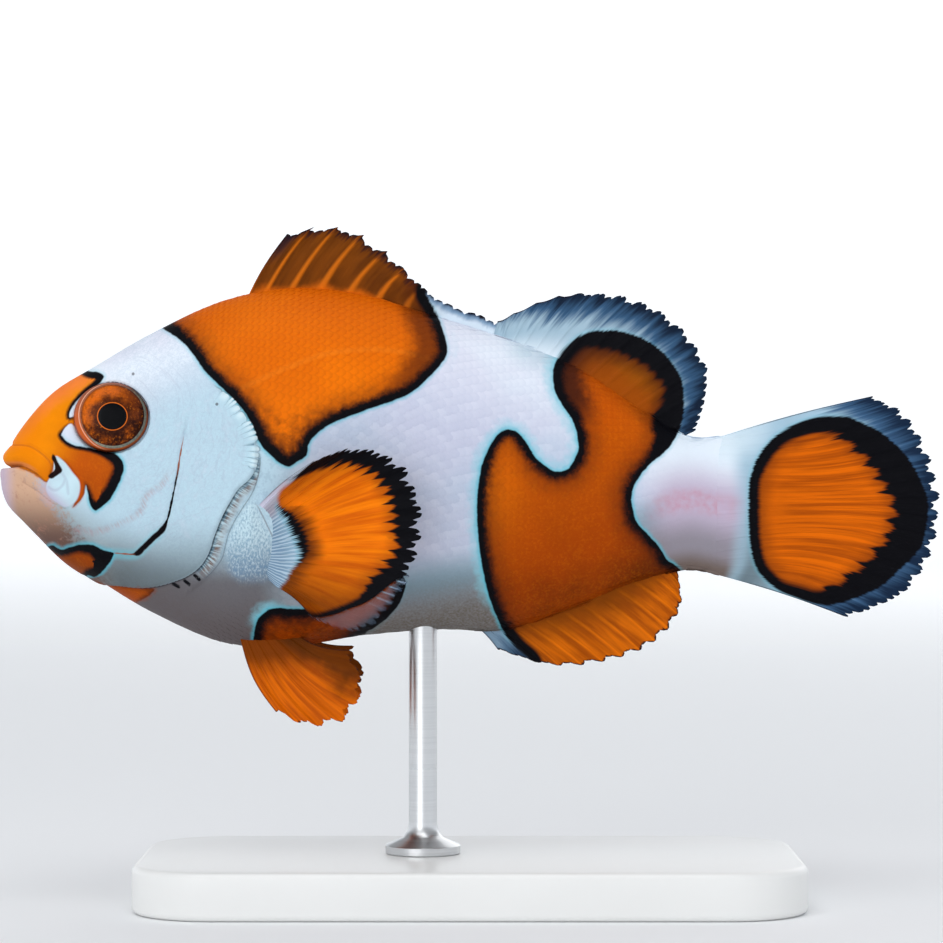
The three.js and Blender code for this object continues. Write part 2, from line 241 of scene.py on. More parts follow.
FIELDS = {
    "saddle": rimmed([
        (12.6, 13.4, 1.0), (13.9, 12.2), (15.1, 11.4, 0.9), (16.2, 10.3), (17.4, 8.6, 0.8), (18.8, 7.2),
        (20.3, 5.7), (21.3, 4.3), (22.0, 2.6, 0.9), (23.0, 1.4, 1.0), (24.4, 0.4), (25.4, 0.9, 0.9),
        (26.1, 1.4), (26.4, 2.6, 0.8), (28.1, 4.0), (31.1, 5.2), (34.6, 6.5), (36.5, 8.0), (37.9, 9.7),
        (38.0, 10.9), (37.5, 12.6), (36.8, 14.1), (36.3, 15.3, 0.9), (36.7, 16.5, 0.5), (37.4, 19.7, 0.0),
        (34.0, 23.5), (25.5, 24.4), (20.0, 20.6), (16.2, 16.3, 0.3)]),
    "rear": rimmed([
        (47.1, 7.4, 0.9), (47.1, 8.8), (47.7, 10.0), (48.7, 11.1), (49.9, 11.8, 1.1), (51.6, 12.0, 1.4),
        (52.9, 11.9, 1.5), (54.5, 11.4, 1.7), (56.0, 10.5, 1.6), (57.2, 9.2, 1.5), (58.0, 7.8, 1.4),
        (58.2, 6.1, 1.6), (58.1, 4.4, 2.3), (57.6, 3.1, 2.4), (56.9, 2.0, 1.7), (55.9, 1.1, 1.0),
        (55.2, 0.5, 0.7), (54.3, -0.6), (53.8, -1.7), (53.8, -2.9), (54.2, -4.3), (55.1, -5.3),
        (56.0, -6.3), (56.8, -7.5), (57.9, -8.4, 0.3), (59.6, -10.9, 0.0), (58.7, -15.2), (54.5, -18.2),
        (47.7, -18.2), (46.0, -17.1, 0.5), (45.1, -16.1, 0.9), (43.9, -15.0), (43.0, -13.9),
        (42.2, -12.2, 0.8), (41.4, -9.9), (40.8, -6.5), (40.6, -4.0), (40.6, -2.4), (40.9, 0.1),
        (41.5, 1.8, 0.7), (42.3, 3.1), (43.2, 3.6), (44.1, 3.3), (44.8, 2.4), (45.6, 1.2), (46.5, 0.4),
        (47.4, 0.0), (48.3, 0.2), (48.8, 0.9, 0.8), (49.2, 1.9), (49.1, 3.2), (48.7, 4.4), (48.1, 5.3),
        (47.4, 6.4)]),
    "tail": rimmed([
        (63.6, -2.9, 0.8), (63.7, -0.7), (64.4, 1.2, 0.9), (65.7, 2.8), (67.2, 3.8, 1.0),
        (68.9, 4.5, 1.1), (70.5, 4.7, 1.3), (72.2, 4.6, 1.5), (73.5, 4.1, 1.9), (74.9, 3.4, 2.2),
        (76.0, 2.5, 2.4), (77.1, 1.4, 2.6), (78.0, 0.0), (78.7, -1.6), (79.0, -2.9), (78.8, -4.6),
        (78.4, -6.3), (77.4, -7.5, 2.4), (76.3, -8.6, 2.2), (75.1, -9.7, 2.0), (73.7, -10.4, 1.9),
        (72.2, -11.0, 1.5), (70.5, -11.4, 1.3), (69.1, -11.2, 1.0), (67.7, -10.7, 0.9),
        (66.2, -10.1, 0.8), (65.2, -9.3), (64.3, -8.2), (63.8, -6.5), (63.6, -4.6)]),
    "belly": rimmed([
        (21.0, -16.0, 0.8), (21.5, -14.6), (21.7, -13.3), (22.0, -12.5), (22.8, -11.8),
        (23.8, -11.6, 0.9), (25.3, -11.7), (27.2, -11.4, 0.8), (29.8, -10.1), (32.3, -8.4), (33.6, -8.0),
        (34.4, -9.0), (34.5, -9.9, 0.9), (34.0, -11.2), (32.8, -12.6), (31.1, -13.8), (29.8, -14.8, 0.7),
        (28.9, -17.7, 0.0), (22.1, -18.6)]),
    "face": rimmed([
        (6.4, 9.0, 0.4), (7.5, 8.65, 0.6), (8.4, 8.5, 0.7), (8.8, 8.1), (8.3, 7.4, 0.5), (7.3, 6.8, 0.3),
        (6.5, 6.0), (6.0, 5.2), (5.9, 4.6, 0.2), (6.6, 4.9, 0.0), (7.1, 4.6), (7.1, 3.0), (6.0, 4.1),
        (5.2, 3.3, 0.2), (5.3, 2.95, 0.3), (5.7, 2.55), (6.3, 2.25), (7.4, 2.05), (8.5, 1.9, 0.5),
        (9.6, 1.6, 0.8), (10.3, 1.0, 0.9), (10.5, 0.2), (10.1, -1.0), (9.4, -2.3), (8.4, -3.2, 0.8),
        (8.0, -3.3), (7.6, -2.7, 0.5), (7.45, -1.9, 0.3), (7.22, -1.0, 0.0), (7.2, -1.6), (7.0, -2.2),
        (6.6, -2.7), (6.1, -3.1), (6.4, -2.4), (6.6, -1.2), (6.2, -0.1), (4.8, 1.1), (4.0, -0.9),
        (2.8, -0.2), (1.0, 0.5), (-0.7, 0.5), (-0.9, 3.5), (2.6, 9.5)]),
    "chin": rimmed([
        (4.3, -6.3, 0.5), (5.3, -6.6), (6.6, -6.2, 0.6), (7.9, -6.2, 0.8), (8.9, -6.6, 1.2),
        (9.7, -6.9, 1.5), (9.4, -7.7, 1.7), (8.8, -8.4, 1.5), (8.2, -8.8, 1.1), (7.5, -8.7, 0.4),
        (7.1, -9.7, 0.0), (5.1, -9.2), (3.4, -7.5)]),
    "throat": rimmed([
        (8.2, -9.2, 0.0), (9.4, -9.6), (10.1, -9.7), (12.1, -9.9), (13.1, -10.1), (12.4, -10.8),
        (11.3, -11.4), (10.2, -12.5), (7.8, -10.9)]),
}
PECTORAL_FIELD = rimmed([
    (24.0, -3.0, 0.5), (24.7, -4.2, 0.9), (25.3, -5.4, 1.0), (25.7, -6.5, 0.9), (25.7, -7.3, 0.5),
    (25.3, -8.2, 0.0), (24.9, -9.0), (24.3, -9.9), (25.4, -10.8), (27.1, -12.0, 0.3), (28.7, -11.9, 0.5),
    (30.1, -11.4), (31.4, -10.9, 0.7), (32.5, -10.2, 1.1), (33.7, -9.2, 1.3), (35.0, -8.4, 1.7),
    (36.4, -6.8, 2.4), (36.6, -5.1, 2.6), (36.6, -3.1), (36.3, -1.4), (35.3, 0.5), (33.6, 2.0, 2.4),
    (31.5, 2.5, 2.0), (29.8, 2.4, 1.6), (28.4, 1.8, 1.2), (26.7, 0.6, 0.7), (25.1, -0.8, 0.4),
    (24.4, -1.9, 0.0)])
VIEW_AWAY = 301.0
VIEW_MIDDLE = 40.0


def side_view(places):
    """Place in the side view as the eye sees it from a little way off: near parts look spread out."""
    near = 1 + np.abs(places[:, 1]) / VIEW_AWAY
    return VIEW_MIDDLE + (places[:, 0] - VIEW_MIDDLE) * near, places[:, 2] * near


def field_distances(fields, x, z):
    """Distance to the nearest field's edge and to its orange core, negative inside."""
    patch = np.full(len(x), REACH)
    core = np.full(len(x), REACH)
    for points in fields:
        signed, rim = region(points, x, z)
        patch = np.minimum(patch, signed)
        core = np.minimum(core, signed + rim)
    return patch, core


# %% [markdown]
# ## The relief of the head
# On the animal the lips, cheek plates and gill cover are bones under skin. They could be sculpted by
# hand. Here each one is a curve with a profile across it: a groove, a step or a low dome. Their sum
# moves the skin in or out along its normal, so a crease can be moved by moving its few points.

# %% Creases and plates of the head
def drawn(count, points):
    """The given number of points along the open curve through a few points."""
    return curve(points, np.linspace(0, 1, count))


MOUTH_SLIT = drawn(25, [(-0.5, 0.45), (1.0, 0.5), (1.8, 0.42), (2.6, 0.08), (3.3, -0.4), (4.0, -1.05)])
LIP_FOLD = drawn(25, [(0.9, 2.35), (2.35, 2.2), (3.5, 1.5), (4.15, 0.8), (4.4, 0.05)])
CHEEK_FOLD = drawn(49, [(15.0, 1.1), (14.4, -0.1), (13.8, -1.1), (12.4, -2.2), (12.1, -3.2), (11.3, -3.9),
                        (9.9, -4.6), (8.2, -5.1), (6.5, -5.0)])
PLATE_GROOVE = drawn(49, [(15.7, 3.4), (15.3, 1.3), (15.1, -0.1), (14.7, -2.1), (14.3, -3.9),
                          (13.8, -5.0), (13.0, -5.7), (12.2, -6.5), (11.5, -7.0), (9.7, -6.9)])
GILL_EDGE = drawn(121, [(17.9, 7.5), (18.8, 6.9), (20.0, 6.1), (20.6, 5.1), (21.3, 4.3), (21.8, 3.3),
                        (22.05, 2.3), (22.0, 1.2), (21.8, 0.2), (21.2, -0.7), (20.3, -1.5), (19.6, -2.6),
                        (18.9, -3.9), (18.3, -5.4), (17.8, -6.9), (17.1, -8.0), (15.9, -8.9),
                        (14.1, -9.6), (12.2, -9.9), (10.1, -9.7), (8.6, -9.5), (7.2, -8.7)])
GILL_FOLD = drawn(73, [(22.15, 1.6), (22.1, 0.2), (21.6, -1.6), (20.8, -2.9), (20.1, -4.0), (19.5, -5.2),
                       (19.2, -6.3), (18.9, -7.4), (18.2, -8.4), (17.2, -9.3)])
LIP_LOBE = [(4.6, 1.35), (5.4, 0.9), (6.1, 0.0), (6.7, -0.75), (6.8, -1.5), (6.6, -2.3), (6.2, -2.8),
            (5.6, -3.1), (5.0, -2.9), (4.2, -2.3), (3.8, -1.6), (3.9, -0.9), (4.4, -0.1)]
LOBE_FOLDS = [drawn(13, [(4.1, -1.3), (4.7, -1.6), (5.3, -1.25), (5.55, -0.7)]),
              drawn(13, [(5.2, 0.0), (5.7, -0.8), (5.85, -1.9)])]
LIP_WEDGE = [(4.48, 1.5), (4.8, 0.95), (5.25, 0.2), (5.2, -0.1), (4.75, -0.38), (4.3, -0.55),
             (4.08, -0.38), (4.45, 0.0), (4.68, 0.3), (4.56, 0.75), (4.38, 1.15)]
JAW_FOLD = drawn(17, [(2.0, -1.0), (3.2, -1.75), (4.4, -2.7), (5.5, -3.2)])
FIN_LOBE = [(21.7, -2.7), (22.8, -4.7), (23.7, -6.8), (23.6, -8.3), (22.8, -9.4), (21.0, -9.8),
            (19.6, -8.6), (19.3, -6.4), (19.8, -4.8), (20.8, -3.0)]
LATERAL_LINE = drawn(81, [(17.0, 5.6), (20.8, 7.2), (24.6, 8.9), (28.8, 10.2), (34.6, 10.1), (41.0, 7.6),
                          (48.0, 3.8), (54.0, 0.3), (60.0, -1.6), (66.0, -2.6)])
SOCKET = {"x": 9.87, "z": 4.52, "wide": 3.14, "tall": 2.94}
FRILL = {"pitch": 0.62, "start": 0.9, "end": 9.6, "reach": 1.5}


def ridge(distance, width):
    """1 on a line, falling to 0 about a width away."""
    return np.exp(-((distance / width) ** 2))


def ahead_of(line, x, z):
    """Signed distance to an open line, positive on the snout's side, and the way along it."""
    away, side, along, _ = nearest(line, x, z)
    return np.where(side < 0, away, -away), along


def petals(along):
    """Number of the frill's petal at a way along the gill's edge: their widths are uneven."""
    return (along + 0.2 * np.sin(along * 2.3) + 0.1 * np.sin(along * 5.1)) / FRILL["pitch"]


def frilled(along):
    """1 where the gill's edge carries petals."""
    start, end = FRILL["start"], FRILL["end"]
    return smooth(along, start, start + 0.8) * (1 - smooth(along, end - 0.8, end))


def from_socket(x, z):
    """Distance from the middle of the eye, stretched so that the socket is a circle."""
    return np.hypot(x - SOCKET["x"], (z - SOCKET["z"]) * SOCKET["wide"] / SOCKET["tall"])


def relief(places):
    """How far the skin stands out, in millimetres, by its place in the side view."""
    x, z = side_view(places)
    lip_away, above, along, _ = nearest(MOUTH_SLIT, x, z)
    depth = np.interp(along, [0, 1.5, 2.4, 4.8], [1.1, 0.6, 0.16, 0.06])
    corner = 1 - smooth(along, 3.2, 4.7)
    out = -depth * ridge(lip_away, 0.13) + 0.07 * corner * ridge(lip_away - 0.6, 0.4)
    front = (above > 0) * (1 - smooth(along, 1.2, 3.4))
    out += front * (0.16 * ridge(lip_away - 1.0, 0.45) - 0.4 * ridge(lip_away, 0.4) * (lip_away > 0.05))
    out -= 0.07 * ridge(nearest(JAW_FOLD, x, z)[0], 0.14)
    out -= 0.13 * ridge(nearest(LIP_FOLD, x, z)[0], 0.16)
    lobe, _ = region(LIP_LOBE, x, z)
    out += 0.2 * smooth(-lobe, 0.0, 0.8) - 0.07 * ridge(lobe, 0.14)
    for fold in LOBE_FOLDS:
        out -= 0.05 * ridge(nearest(fold, x, z)[0], 0.12)
    eye = from_socket(places[:, 0], places[:, 2]) - SOCKET["wide"]
    out += 0.06 * ridge(eye - 0.35, 0.2) - 1.3 * (1 - smooth(eye, -0.12, 0.1))
    out -= 0.45 * ridge(eye, 1.3) * smooth(places[:, 0] - SOCKET["x"], 0, 3)
    out -= 0.15 * ridge(np.hypot(x - 11.3, z - 8.3), 0.14)
    out -= 0.07 * ridge(nearest(CHEEK_FOLD, x, z)[0], 0.25)
    ahead, _ = ahead_of(PLATE_GROOVE, x, z)
    out -= 0.1 * ridge(ahead, 0.14)
    out += 0.16 * smooth(ahead, -0.05, 0.12) * (1 - smooth(ahead, 0.1, 2.2))
    ahead, along = ahead_of(GILL_EDGE, x, z)
    wave = np.abs(np.sin(petals(along) * math.pi))
    notch = frilled(along) * (1 - wave) ** 2
    proud = 0.34 * smooth(ahead - 0.18 * notch, -0.06, 0.12) * (1 - smooth(ahead, 0.6, 5.0))
    proud -= 0.12 * notch * smooth(ahead, -0.1, 0.1) * (1 - smooth(ahead, 0.3, FRILL["reach"]))
    out += proud * smooth(along, 0, 1.2)
    ahead, along = ahead_of(GILL_FOLD, x, z)
    out += 0.2 * smooth(ahead, -0.1, 0.1) * (1 - smooth(ahead, 0.6, 2.5)) * smooth(along, 0, 1.2)
    base, _ = region(FIN_LOBE, x, z)
    out += 0.55 * smooth(-base, -0.5, 1.8)
    out += 0.015 * ridge(nearest(LATERAL_LINE, x, z)[0], 0.25)
    return out

# %% [markdown]
# ## What the colours need to know
# Thin lines and pleats are finer than the skin's own faces. So the vertices don't keep how dark a line
# is, but how far away it is and how far along it they lie. Those distances run evenly from vertex to
# vertex, and the shader cuts them into lines as thin as it likes. Scales get the body's distances too.

# %% Distances for a set of points
DARK_MARKS = [[(14.7, -9.6), (15.2, -9.85)], [(15.7, -9.25), (16.15, -9.6)], [(16.6, -8.8), (17.0, -9.15)],
              [(22.5, -2.65), (23.2, -2.3)]]
CREST_X = np.linspace(0, 67, 400)
CREST = body_point(station_at(CREST_X), np.zeros(400))[:, 2]
KEEL = body_point(station_at(CREST_X), np.full(400, math.pi))[:, 2]


def body_distances(places):
    """Distances that skin and scales share: to the fields' edges, the back, the belly and the side line."""
    x, z = side_view(places)
    patch, core = field_distances(FIELDS.values(), x, z)
    return {"patch": patch, "core": core, "crest": np.interp(x, CREST_X, CREST) - places[:, 2],
            "keel": places[:, 2] - np.interp(x, CREST_X, KEEL), "side_line": nearest(LATERAL_LINE, x, z)[0]}


def head_distances(places):
    """Distances to the creases and plates of the head, for the bare skin."""
    x, z = side_view(places)
    lines = {"slit": MOUTH_SLIT, "lip_fold": LIP_FOLD, "cheek_fold": CHEEK_FOLD, "jaw_fold": JAW_FOLD}
    found = {name: nearest(line, x, z)[0] for name, line in lines.items()}
    found["slit_along"] = nearest(MOUTH_SLIT, x, z)[2]
    below = nearest(np.vstack([MOUTH_SLIT, [(4.4, -2.0), (5.5, -3.2), (9.0, -4.4), (14.0, -5.5)]]), x, z)
    found["below"] = below[0] * np.where(below[1] < 0, 1, -1)
    found["groove"], found["groove_along"] = ahead_of(PLATE_GROOVE, x, z)
    for name, line in {"gill": GILL_EDGE, "fold": GILL_FOLD}.items():
        found[name], along = ahead_of(line, x, z)
        found[name + "_along"] = along
        found[name + "_live"] = smooth(along, 0.02, 0.8) * smooth(along.max() - along, 0.02, 0.8)
    along = found.pop("gill_along")
    found["petal"], found["frilled"] = petals(along), frilled(along)
    for name, points in {"lobe": LIP_LOBE, "wedge": LIP_WEDGE, "fin_lobe": FIN_LOBE}.items():
        found[name] = region(points, x, z)[0]
    found["lobe_fold"] = np.min([nearest(fold, x, z)[0] for fold in LOBE_FOLDS], axis=0)
    found["mark"] = np.min([nearest(mark, x, z)[0] for mark in DARK_MARKS], axis=0)
    found["eye"] = from_socket(places[:, 0], places[:, 2]) - SOCKET["wide"]
    return found


def store(mesh, numbers):
    """Keeps named numbers on the mesh's vertices for its material."""
    for name, values in numbers.items():
        attribute = mesh.attributes.new(name, "FLOAT", "POINT")
        attribute.data.foreach_set("value", np.asarray(values, np.float32))


# %% [markdown]
# ## The skin
# One closed skin stands for the head, lips, gill covers, trunk and tail stalk, so no seam shows. A
# sphere is a good start: its poles become the snout and the end of the tail, and its rings become the
# body's rings. The rings are shared out by the station table, and turned closer together on the flanks.

# %% Making the skin
SIDES = 256
SKIN_DEPTH = 0.1
UNWRAP_BORDER = 0.02
FLESH = ["head", "upper_lip", "lower_jaw", "gill_cover_left", "gill_cover_right", "trunk_front",
         "trunk_rear", "tail_stalk"]


def read_places(mesh):
    """The vertices' places as an array."""
    places = np.empty(len(mesh.vertices) * 3)
    mesh.vertices.foreach_get("co", places)
    return places.reshape(-1, 3)


def write_places(mesh, places):
    """Moves the vertices to the given places."""
    mesh.vertices.foreach_set("co", np.asarray(places, np.float32).ravel())
    mesh.update()


def read_normals(mesh):
    """The vertices' normals as an array."""
    normals = np.empty(len(mesh.vertices) * 3, np.float32)
    mesh.vertices.foreach_get("normal", normals)
    return normals.reshape(-1, 3).astype(float)


def finished_mesh(bm, name):
    """The bmesh as a smooth-shaded mesh."""
    mesh = bpy.data.meshes.new(name)
    bm.to_mesh(mesh)
    bm.free()
    mesh.shade_smooth()
    return mesh


def double_grid(name, columns, rows):
    """A flat closed sheet one across each way, with its face at height 0 and its back at 1."""
    bm = bmesh.new()
    bmesh.ops.create_grid(bm, x_segments=columns, y_segments=rows, size=0.5)
    grown = bmesh.ops.extrude_face_region(bm, geom=bm.faces[:])
    back = [part for part in grown["geom"] if isinstance(part, bmesh.types.BMVert)]
    bmesh.ops.translate(bm, vec=(0, 0, 1), verts=back)
    bmesh.ops.recalc_face_normals(bm, faces=bm.faces[:])
    return finished_mesh(bm, name)


def turned(name, profile, middle, steps, join):
    """A piece turned about an upright axis from its radii and heights, in metres."""
    bm = bmesh.new()
    verts = [bm.verts.new((middle[0] + radius, middle[1], height)) for radius, height in profile]
    edges = [bm.edges.new(pair) for pair in zip(verts, verts[1:])]
    bmesh.ops.spin(bm, geom=verts + edges, cent=middle, axis=(0, 0, 1), angle=2 * math.pi, steps=steps,
                   use_merge=True, use_duplicate=False)
    bmesh.ops.remove_doubles(bm, verts=bm.verts[:], dist=join)
    bmesh.ops.recalc_face_normals(bm, faces=bm.faces[:])
    return finished_mesh(bm, name)


def show(mesh, replaced=()):
    """Puts the mesh in the scene as a piece of the model."""
    piece = bpy.data.objects.new(mesh.name, mesh)
    bpy.context.scene.collection.objects.link(piece)
    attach(piece, "root")
    if replaced:
        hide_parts(*replaced)
    print(f"{mesh.name}: {len(mesh.polygons)} faces")
    return piece


def body_angle(turn):
    """The body's angle for a turn of the sphere: the sides get closer together on the flanks."""
    return turn + 0.12 * np.sin(2 * turn)


def unwrapped(ring, share):
    """A place on the skin's unwrap by the ring and the share of a turn, kept off the border."""
    return UNWRAP_BORDER + (1 - 2 * UNWRAP_BORDER) * np.stack([ring / RINGS, share], axis=1)


def make_skin():
    """The whole body's surface, with its relief, masks and unwrap."""
    bm = bmesh.new()
    bmesh.ops.create_uvsphere(bm, u_segments=SIDES, v_segments=RINGS, radius=1)
    mesh = finished_mesh(bm, "fish_skin")
    ball = read_places(mesh)
    ring = np.arccos(np.clip(ball[:, 2], -1, 1)) / math.pi * RINGS
    turn = np.arctan2(ball[:, 1], ball[:, 0])
    places = body_point(np.interp(ring, FIRST_RINGS, np.arange(LAST + 1)), body_angle(turn))
    write_places(mesh, places)
    normals = read_normals(mesh)
    if np.median(normals[:, 1] * places[:, 1]) < 0:
        mesh.flip_normals()
        normals = -normals
    flat = places.copy()
    places += normals * (relief(flat) - SKIN_DEPTH)[:, None]
    write_places(mesh, to_frame(places))
    store(mesh, body_distances(flat))
    store(mesh, head_distances(flat))
    unwrap = mesh.uv_layers.new(name="OFBake")
    corners = np.empty(len(mesh.loops), int)
    mesh.loops.foreach_get("vertex_index", corners)
    across = (turn[corners] / (2 * math.pi)) % 1.0
    count = np.empty(len(mesh.polygons), int)
    mesh.polygons.foreach_get("loop_total", count)
    face_of = np.repeat(np.arange(len(count)), count)
    high = np.zeros(len(count))
    np.maximum.at(high, face_of, across)
    wraps = (high[face_of] > 0.75) & (across < 0.25)
    uv = unwrapped(ring[corners], across + wraps)
    unwrap.data.foreach_set("uv", uv.astype(np.float32).ravel())
    return show(mesh, FLESH)


skin = make_skin()


# %% [markdown]
# ## Scales
# The flanks are covered by small round-edged plates in staggered rows, each overlapping the one behind.
# A bump pattern would be lighter, but real plates catch the light at their edges from any side. One plate
# is shaped from a small grid and repeated by array arithmetic, standing on the nearest spot of the skin.

# %% The scale plate and where the plates stand
SCALE_STEP = 0.56
SCALE_RISE = 0.76
SCALE_LENGTH = 1.62
SCALE_WIDTH = 1.12
SCALE_PATCH = 0.003
GOLDEN_SHARE = 0.618034
BARE = [(12.0, 16.0), (14.2, 12.2), (17.0, 8.6), (19.6, 7.0), (21.4, 5.0), (22.5, 3.2), (23.6, 1.2),
        (24.4, -0.8), (24.8, -3.0), (25.0, -5.6), (24.6, -8.0), (23.0, -10.0), (20.0, -11.2),
        (16.4, -12.0), (13.0, -14.0), (8.0, -18.0), (-3.0, -18.0), (-3.0, 16.0)]


def scale_size(x):
    """Share of the full size at a distance from the snout."""
    return np.interp(x, [12, 24, 46, 60, 67], [0.7, 1.0, 1.0, 0.74, 0.55])


def scale_roots(side):
    """Station numbers and angles of the plates of one side, in staggered columns."""
    found = []
    x, column = 13.0, 0
    while x < 61.0:
        size = float(scale_size(x))
        angles = np.linspace(0.05, math.pi - 0.05, 300)
        ring = body_point(np.full(300, station_at(x)), angles)
        arc = np.concatenate([[0], np.cumsum(np.linalg.norm(np.diff(ring, axis=0), axis=1))])
        middle = np.interp(-np.interp(x, LATERAL_LINE[:, 0], LATERAL_LINE[:, 1]), -ring[:, 2], arc)
        rise = SCALE_RISE * size
        rows = middle + (np.arange(-60, 61) + 0.5 * (column % 2)) * rise
        rows = rows[(rows > 0) & (rows < arc[-1])]
        for place in rows:
            found.append((station_at(x), side * np.interp(place, arc, angles), size))
        x += SCALE_STEP * size
        column += 1
    return np.array(found)


def unwrap_place(u, angle):
    """The place of a body point on the skin's unwrap."""
    turns = np.linspace(-math.pi, math.pi, 721)
    turn = np.interp(angle, body_angle(turns), turns)
    return unwrapped(np.interp(u, np.arange(LAST + 1), FIRST_RINGS), (turn / (2 * math.pi)) % 1.0)


def make_scales(name, side, low, high):
    """The plates of one side whose roots lie between two distances from the snout."""
    roots = scale_roots(side)
    places = body_point(roots[:, 0], roots[:, 1])
    away, _ = region(BARE, *side_view(places))
    keep = (away > 0) & (places[:, 0] >= low) & (places[:, 0] < high)
    roots, places = roots[keep], places[keep]
    grown = (0.55 + 0.45 * smooth(away[keep], 0, 2.4) * smooth(61.5 - places[:, 0], 0, 3))[:, None]
    step = 0.004
    along = body_point(np.minimum(roots[:, 0] + step, LAST - step), roots[:, 1]) - places
    along /= np.linalg.norm(along, axis=1)[:, None]
    feet = np.empty_like(places)
    up = np.empty_like(places)
    for i, point in enumerate(to_frame(places)):
        foot, normal, _, _ = skin_tree.find_nearest(Vector(point))
        feet[i] = foot
        up[i] = normal
    along -= up * np.sum(along * up, axis=1)[:, None]
    along /= np.linalg.norm(along, axis=1)[:, None]
    across = np.cross(up, along)
    plate = double_grid("plate", 4, 4)
    shape = read_places(plate)
    a, b, top = shape.T
    width = np.sqrt(1 - np.clip((a + 0.1) / 0.62, 0, 1) ** 2)
    size = roots[:, 2][:, None] * grown
    long = (a + 0.28)[None, :] * SCALE_LENGTH * size
    wide = (b * width)[None, :] * SCALE_WIDTH * size
    height = -0.03 + 0.05 * (a + 0.5) + 0.008 * (1 - 4 * b * b) - 0.025 * (1 - top)
    height = height[None, :] * size * grown - wide ** 2 / 18
    spots = (feet[:, None, :] + (long[..., None] * along[:, None, :] + wide[..., None] * across[:, None, :]
             + height[..., None] * up[:, None, :]) * MM).reshape(-1, 3)
    faces = np.array([list(f.vertices) for f in plate.polygons])
    all_faces = (faces[None] + (np.arange(len(roots)) * len(a))[:, None, None]).reshape(-1, 4)
    mesh = bpy.data.meshes.new(name)
    mesh.from_pydata(spots.tolist(), [], all_faces.tolist())
    mesh.shade_smooth()
    mesh.set_sharp_from_angle(angle=0.6)
    fish = (spots - np.array([SNOUT, 0, MOUTH])) / MM
    masks = body_distances(fish)
    rim = np.maximum(np.abs(2 * b), smooth(a, -0.1, 0.5)) * np.ones((len(roots), 1))
    masks["rim"] = rim.ravel()
    masks["shade"] = np.repeat((np.arange(len(roots)) * GOLDEN_SHARE) % 1.0, len(a))
    masks["plate"] = np.ones(len(spots))
    store(mesh, masks)
    home = unwrap_place(roots[:, 0], roots[:, 1])
    uv = home[:, None, :] + SCALE_PATCH * np.stack([a, b], axis=1)[None]
    layer = mesh.uv_layers.new(name="OFBake")
    layer.data.foreach_set("uv", uv.reshape(-1, 2)[all_faces.ravel()].astype(np.float32).ravel())
    bpy.data.meshes.remove(plate)
    return show(mesh)


skin_tree = BVHTree.FromPolygons([v.co for v in skin.data.vertices],
                                 [p.vertices for p in skin.data.polygons])
coat = []
for side_name, side in (("left", -1), ("right", 1)):
    coat.append(make_scales(f"scales_front_{side_name}", side, 0, 36))
    coat.append(make_scales(f"scales_rear_{side_name}", side, 36, 70))

# %% [markdown]
# ## Fins
# A fin is a fan of bony rays with a thin membrane between them. Flat cards would look like paper, so
# each fin is a closed double sheet: a grid is extruded to give it a back, then bent by the same root and
# tip curves as its solid. Each ray makes a low rib that forks towards the margin, and the margin is frayed.

# %% The fans
FINS = {
    "dorsal_fin_front": dict(
        root=[(20.7, 13.9), (29, 14.4), (36, 12.3), (42.4, 10.1)],
        tips=[(24.5, 20.3), (29.2, 20.8), (33.7, 18.0), (37.4, 14.8), (42.8, 12.75)],
        rays=10, scallop=0.04, bow=0.3, base=0.9, fray=0.4, lean=0.1, flare=1.6, calm=0),
    "dorsal_fin_rear": dict(
        root=[(42.1, 10.1), (48, 8.4), (53, 5.2), (57.4, 2.2)],
        tips=[(42.35, 12.8), (47.2, 14.9), (52.4, 15.2), (57.2, 13.2), (60.4, 8.7), (59.4, 3.5)],
        rays=15, scallop=0.04, bow=0.2, base=0.9, fray=0.55, lean=0.14, flare=1.4, calm=4),
    "anal_fin": dict(
        root=[(39.7, -12.6), (48, -10.4), (53, -8.4), (56.6, -7.2)],
        tips=[(42.4, -15.2), (47.0, -16.6), (51.8, -16.2), (55.6, -14.7), (58.0, -11.8), (57.8, -9.0)],
        rays=14, scallop=0.06, bow=0.2, base=0.9, fray=0.2, lean=0.2, flare=1.4, calm=0),
    "tail_fin": dict(
        root=[(60.9, 2.85), (60.8, 1.0), (61.0, -3.0), (60.8, -7.0), (60.9, -8.75)],
        tips=[(74.4, 6.45), (77.4, 4.9), (79.5, 1.2), (80.2, -2.9), (79.5, -7.0), (77.0, -10.6),
              (72.3, -12.5)],
        rays=16, scallop=0.03, bow=0.2, base=1.1, fray=0.6, lean=0, flare=0.0, calm=0, gather=1.3),
    "pectoral_fin": dict(
        root=[(21.9, -3.4), (23.3, -5.0), (23.8, -7.4), (23.9, -9.6)],
        tips=[(27.2, 0.9), (30.7, 2.1), (34.2, 1.1), (36.2, -2.2), (36.1, -6.2), (34.6, -10.2),
              (31.2, -13.3), (27.2, -12.3)],
        rays=16, scallop=0.03, bow=0.3, base=1.6, fray=1.0, lean=0, flare=0.4, calm=0, near=6.2, far=11.2),
    "pelvic_fin": dict(
        root=[(20.6, -14.2), (21.7, -13.9), (23.1, -13.7), (24.8, -13.5)],
        tips=[(23.8, -20.3), (26.6, -21.6), (29.6, -21.1), (31.2, -18.4), (30.2, -15.0)],
        rays=7, scallop=0.07, bow=-0.5, base=1.0, fray=0.5, lean=0, flare=0.2, calm=0, near=1.7, far=4.0),
}
FIN_SWAY = 0.35
FIN_EDGE = 0.2
COLUMNS_PER_RAY = 12
FIN_ROWS = 56
ROOT_DEPTH = 1.0
SPINE = {"length": 0.8, "first": 0.5, "last": 6.6}


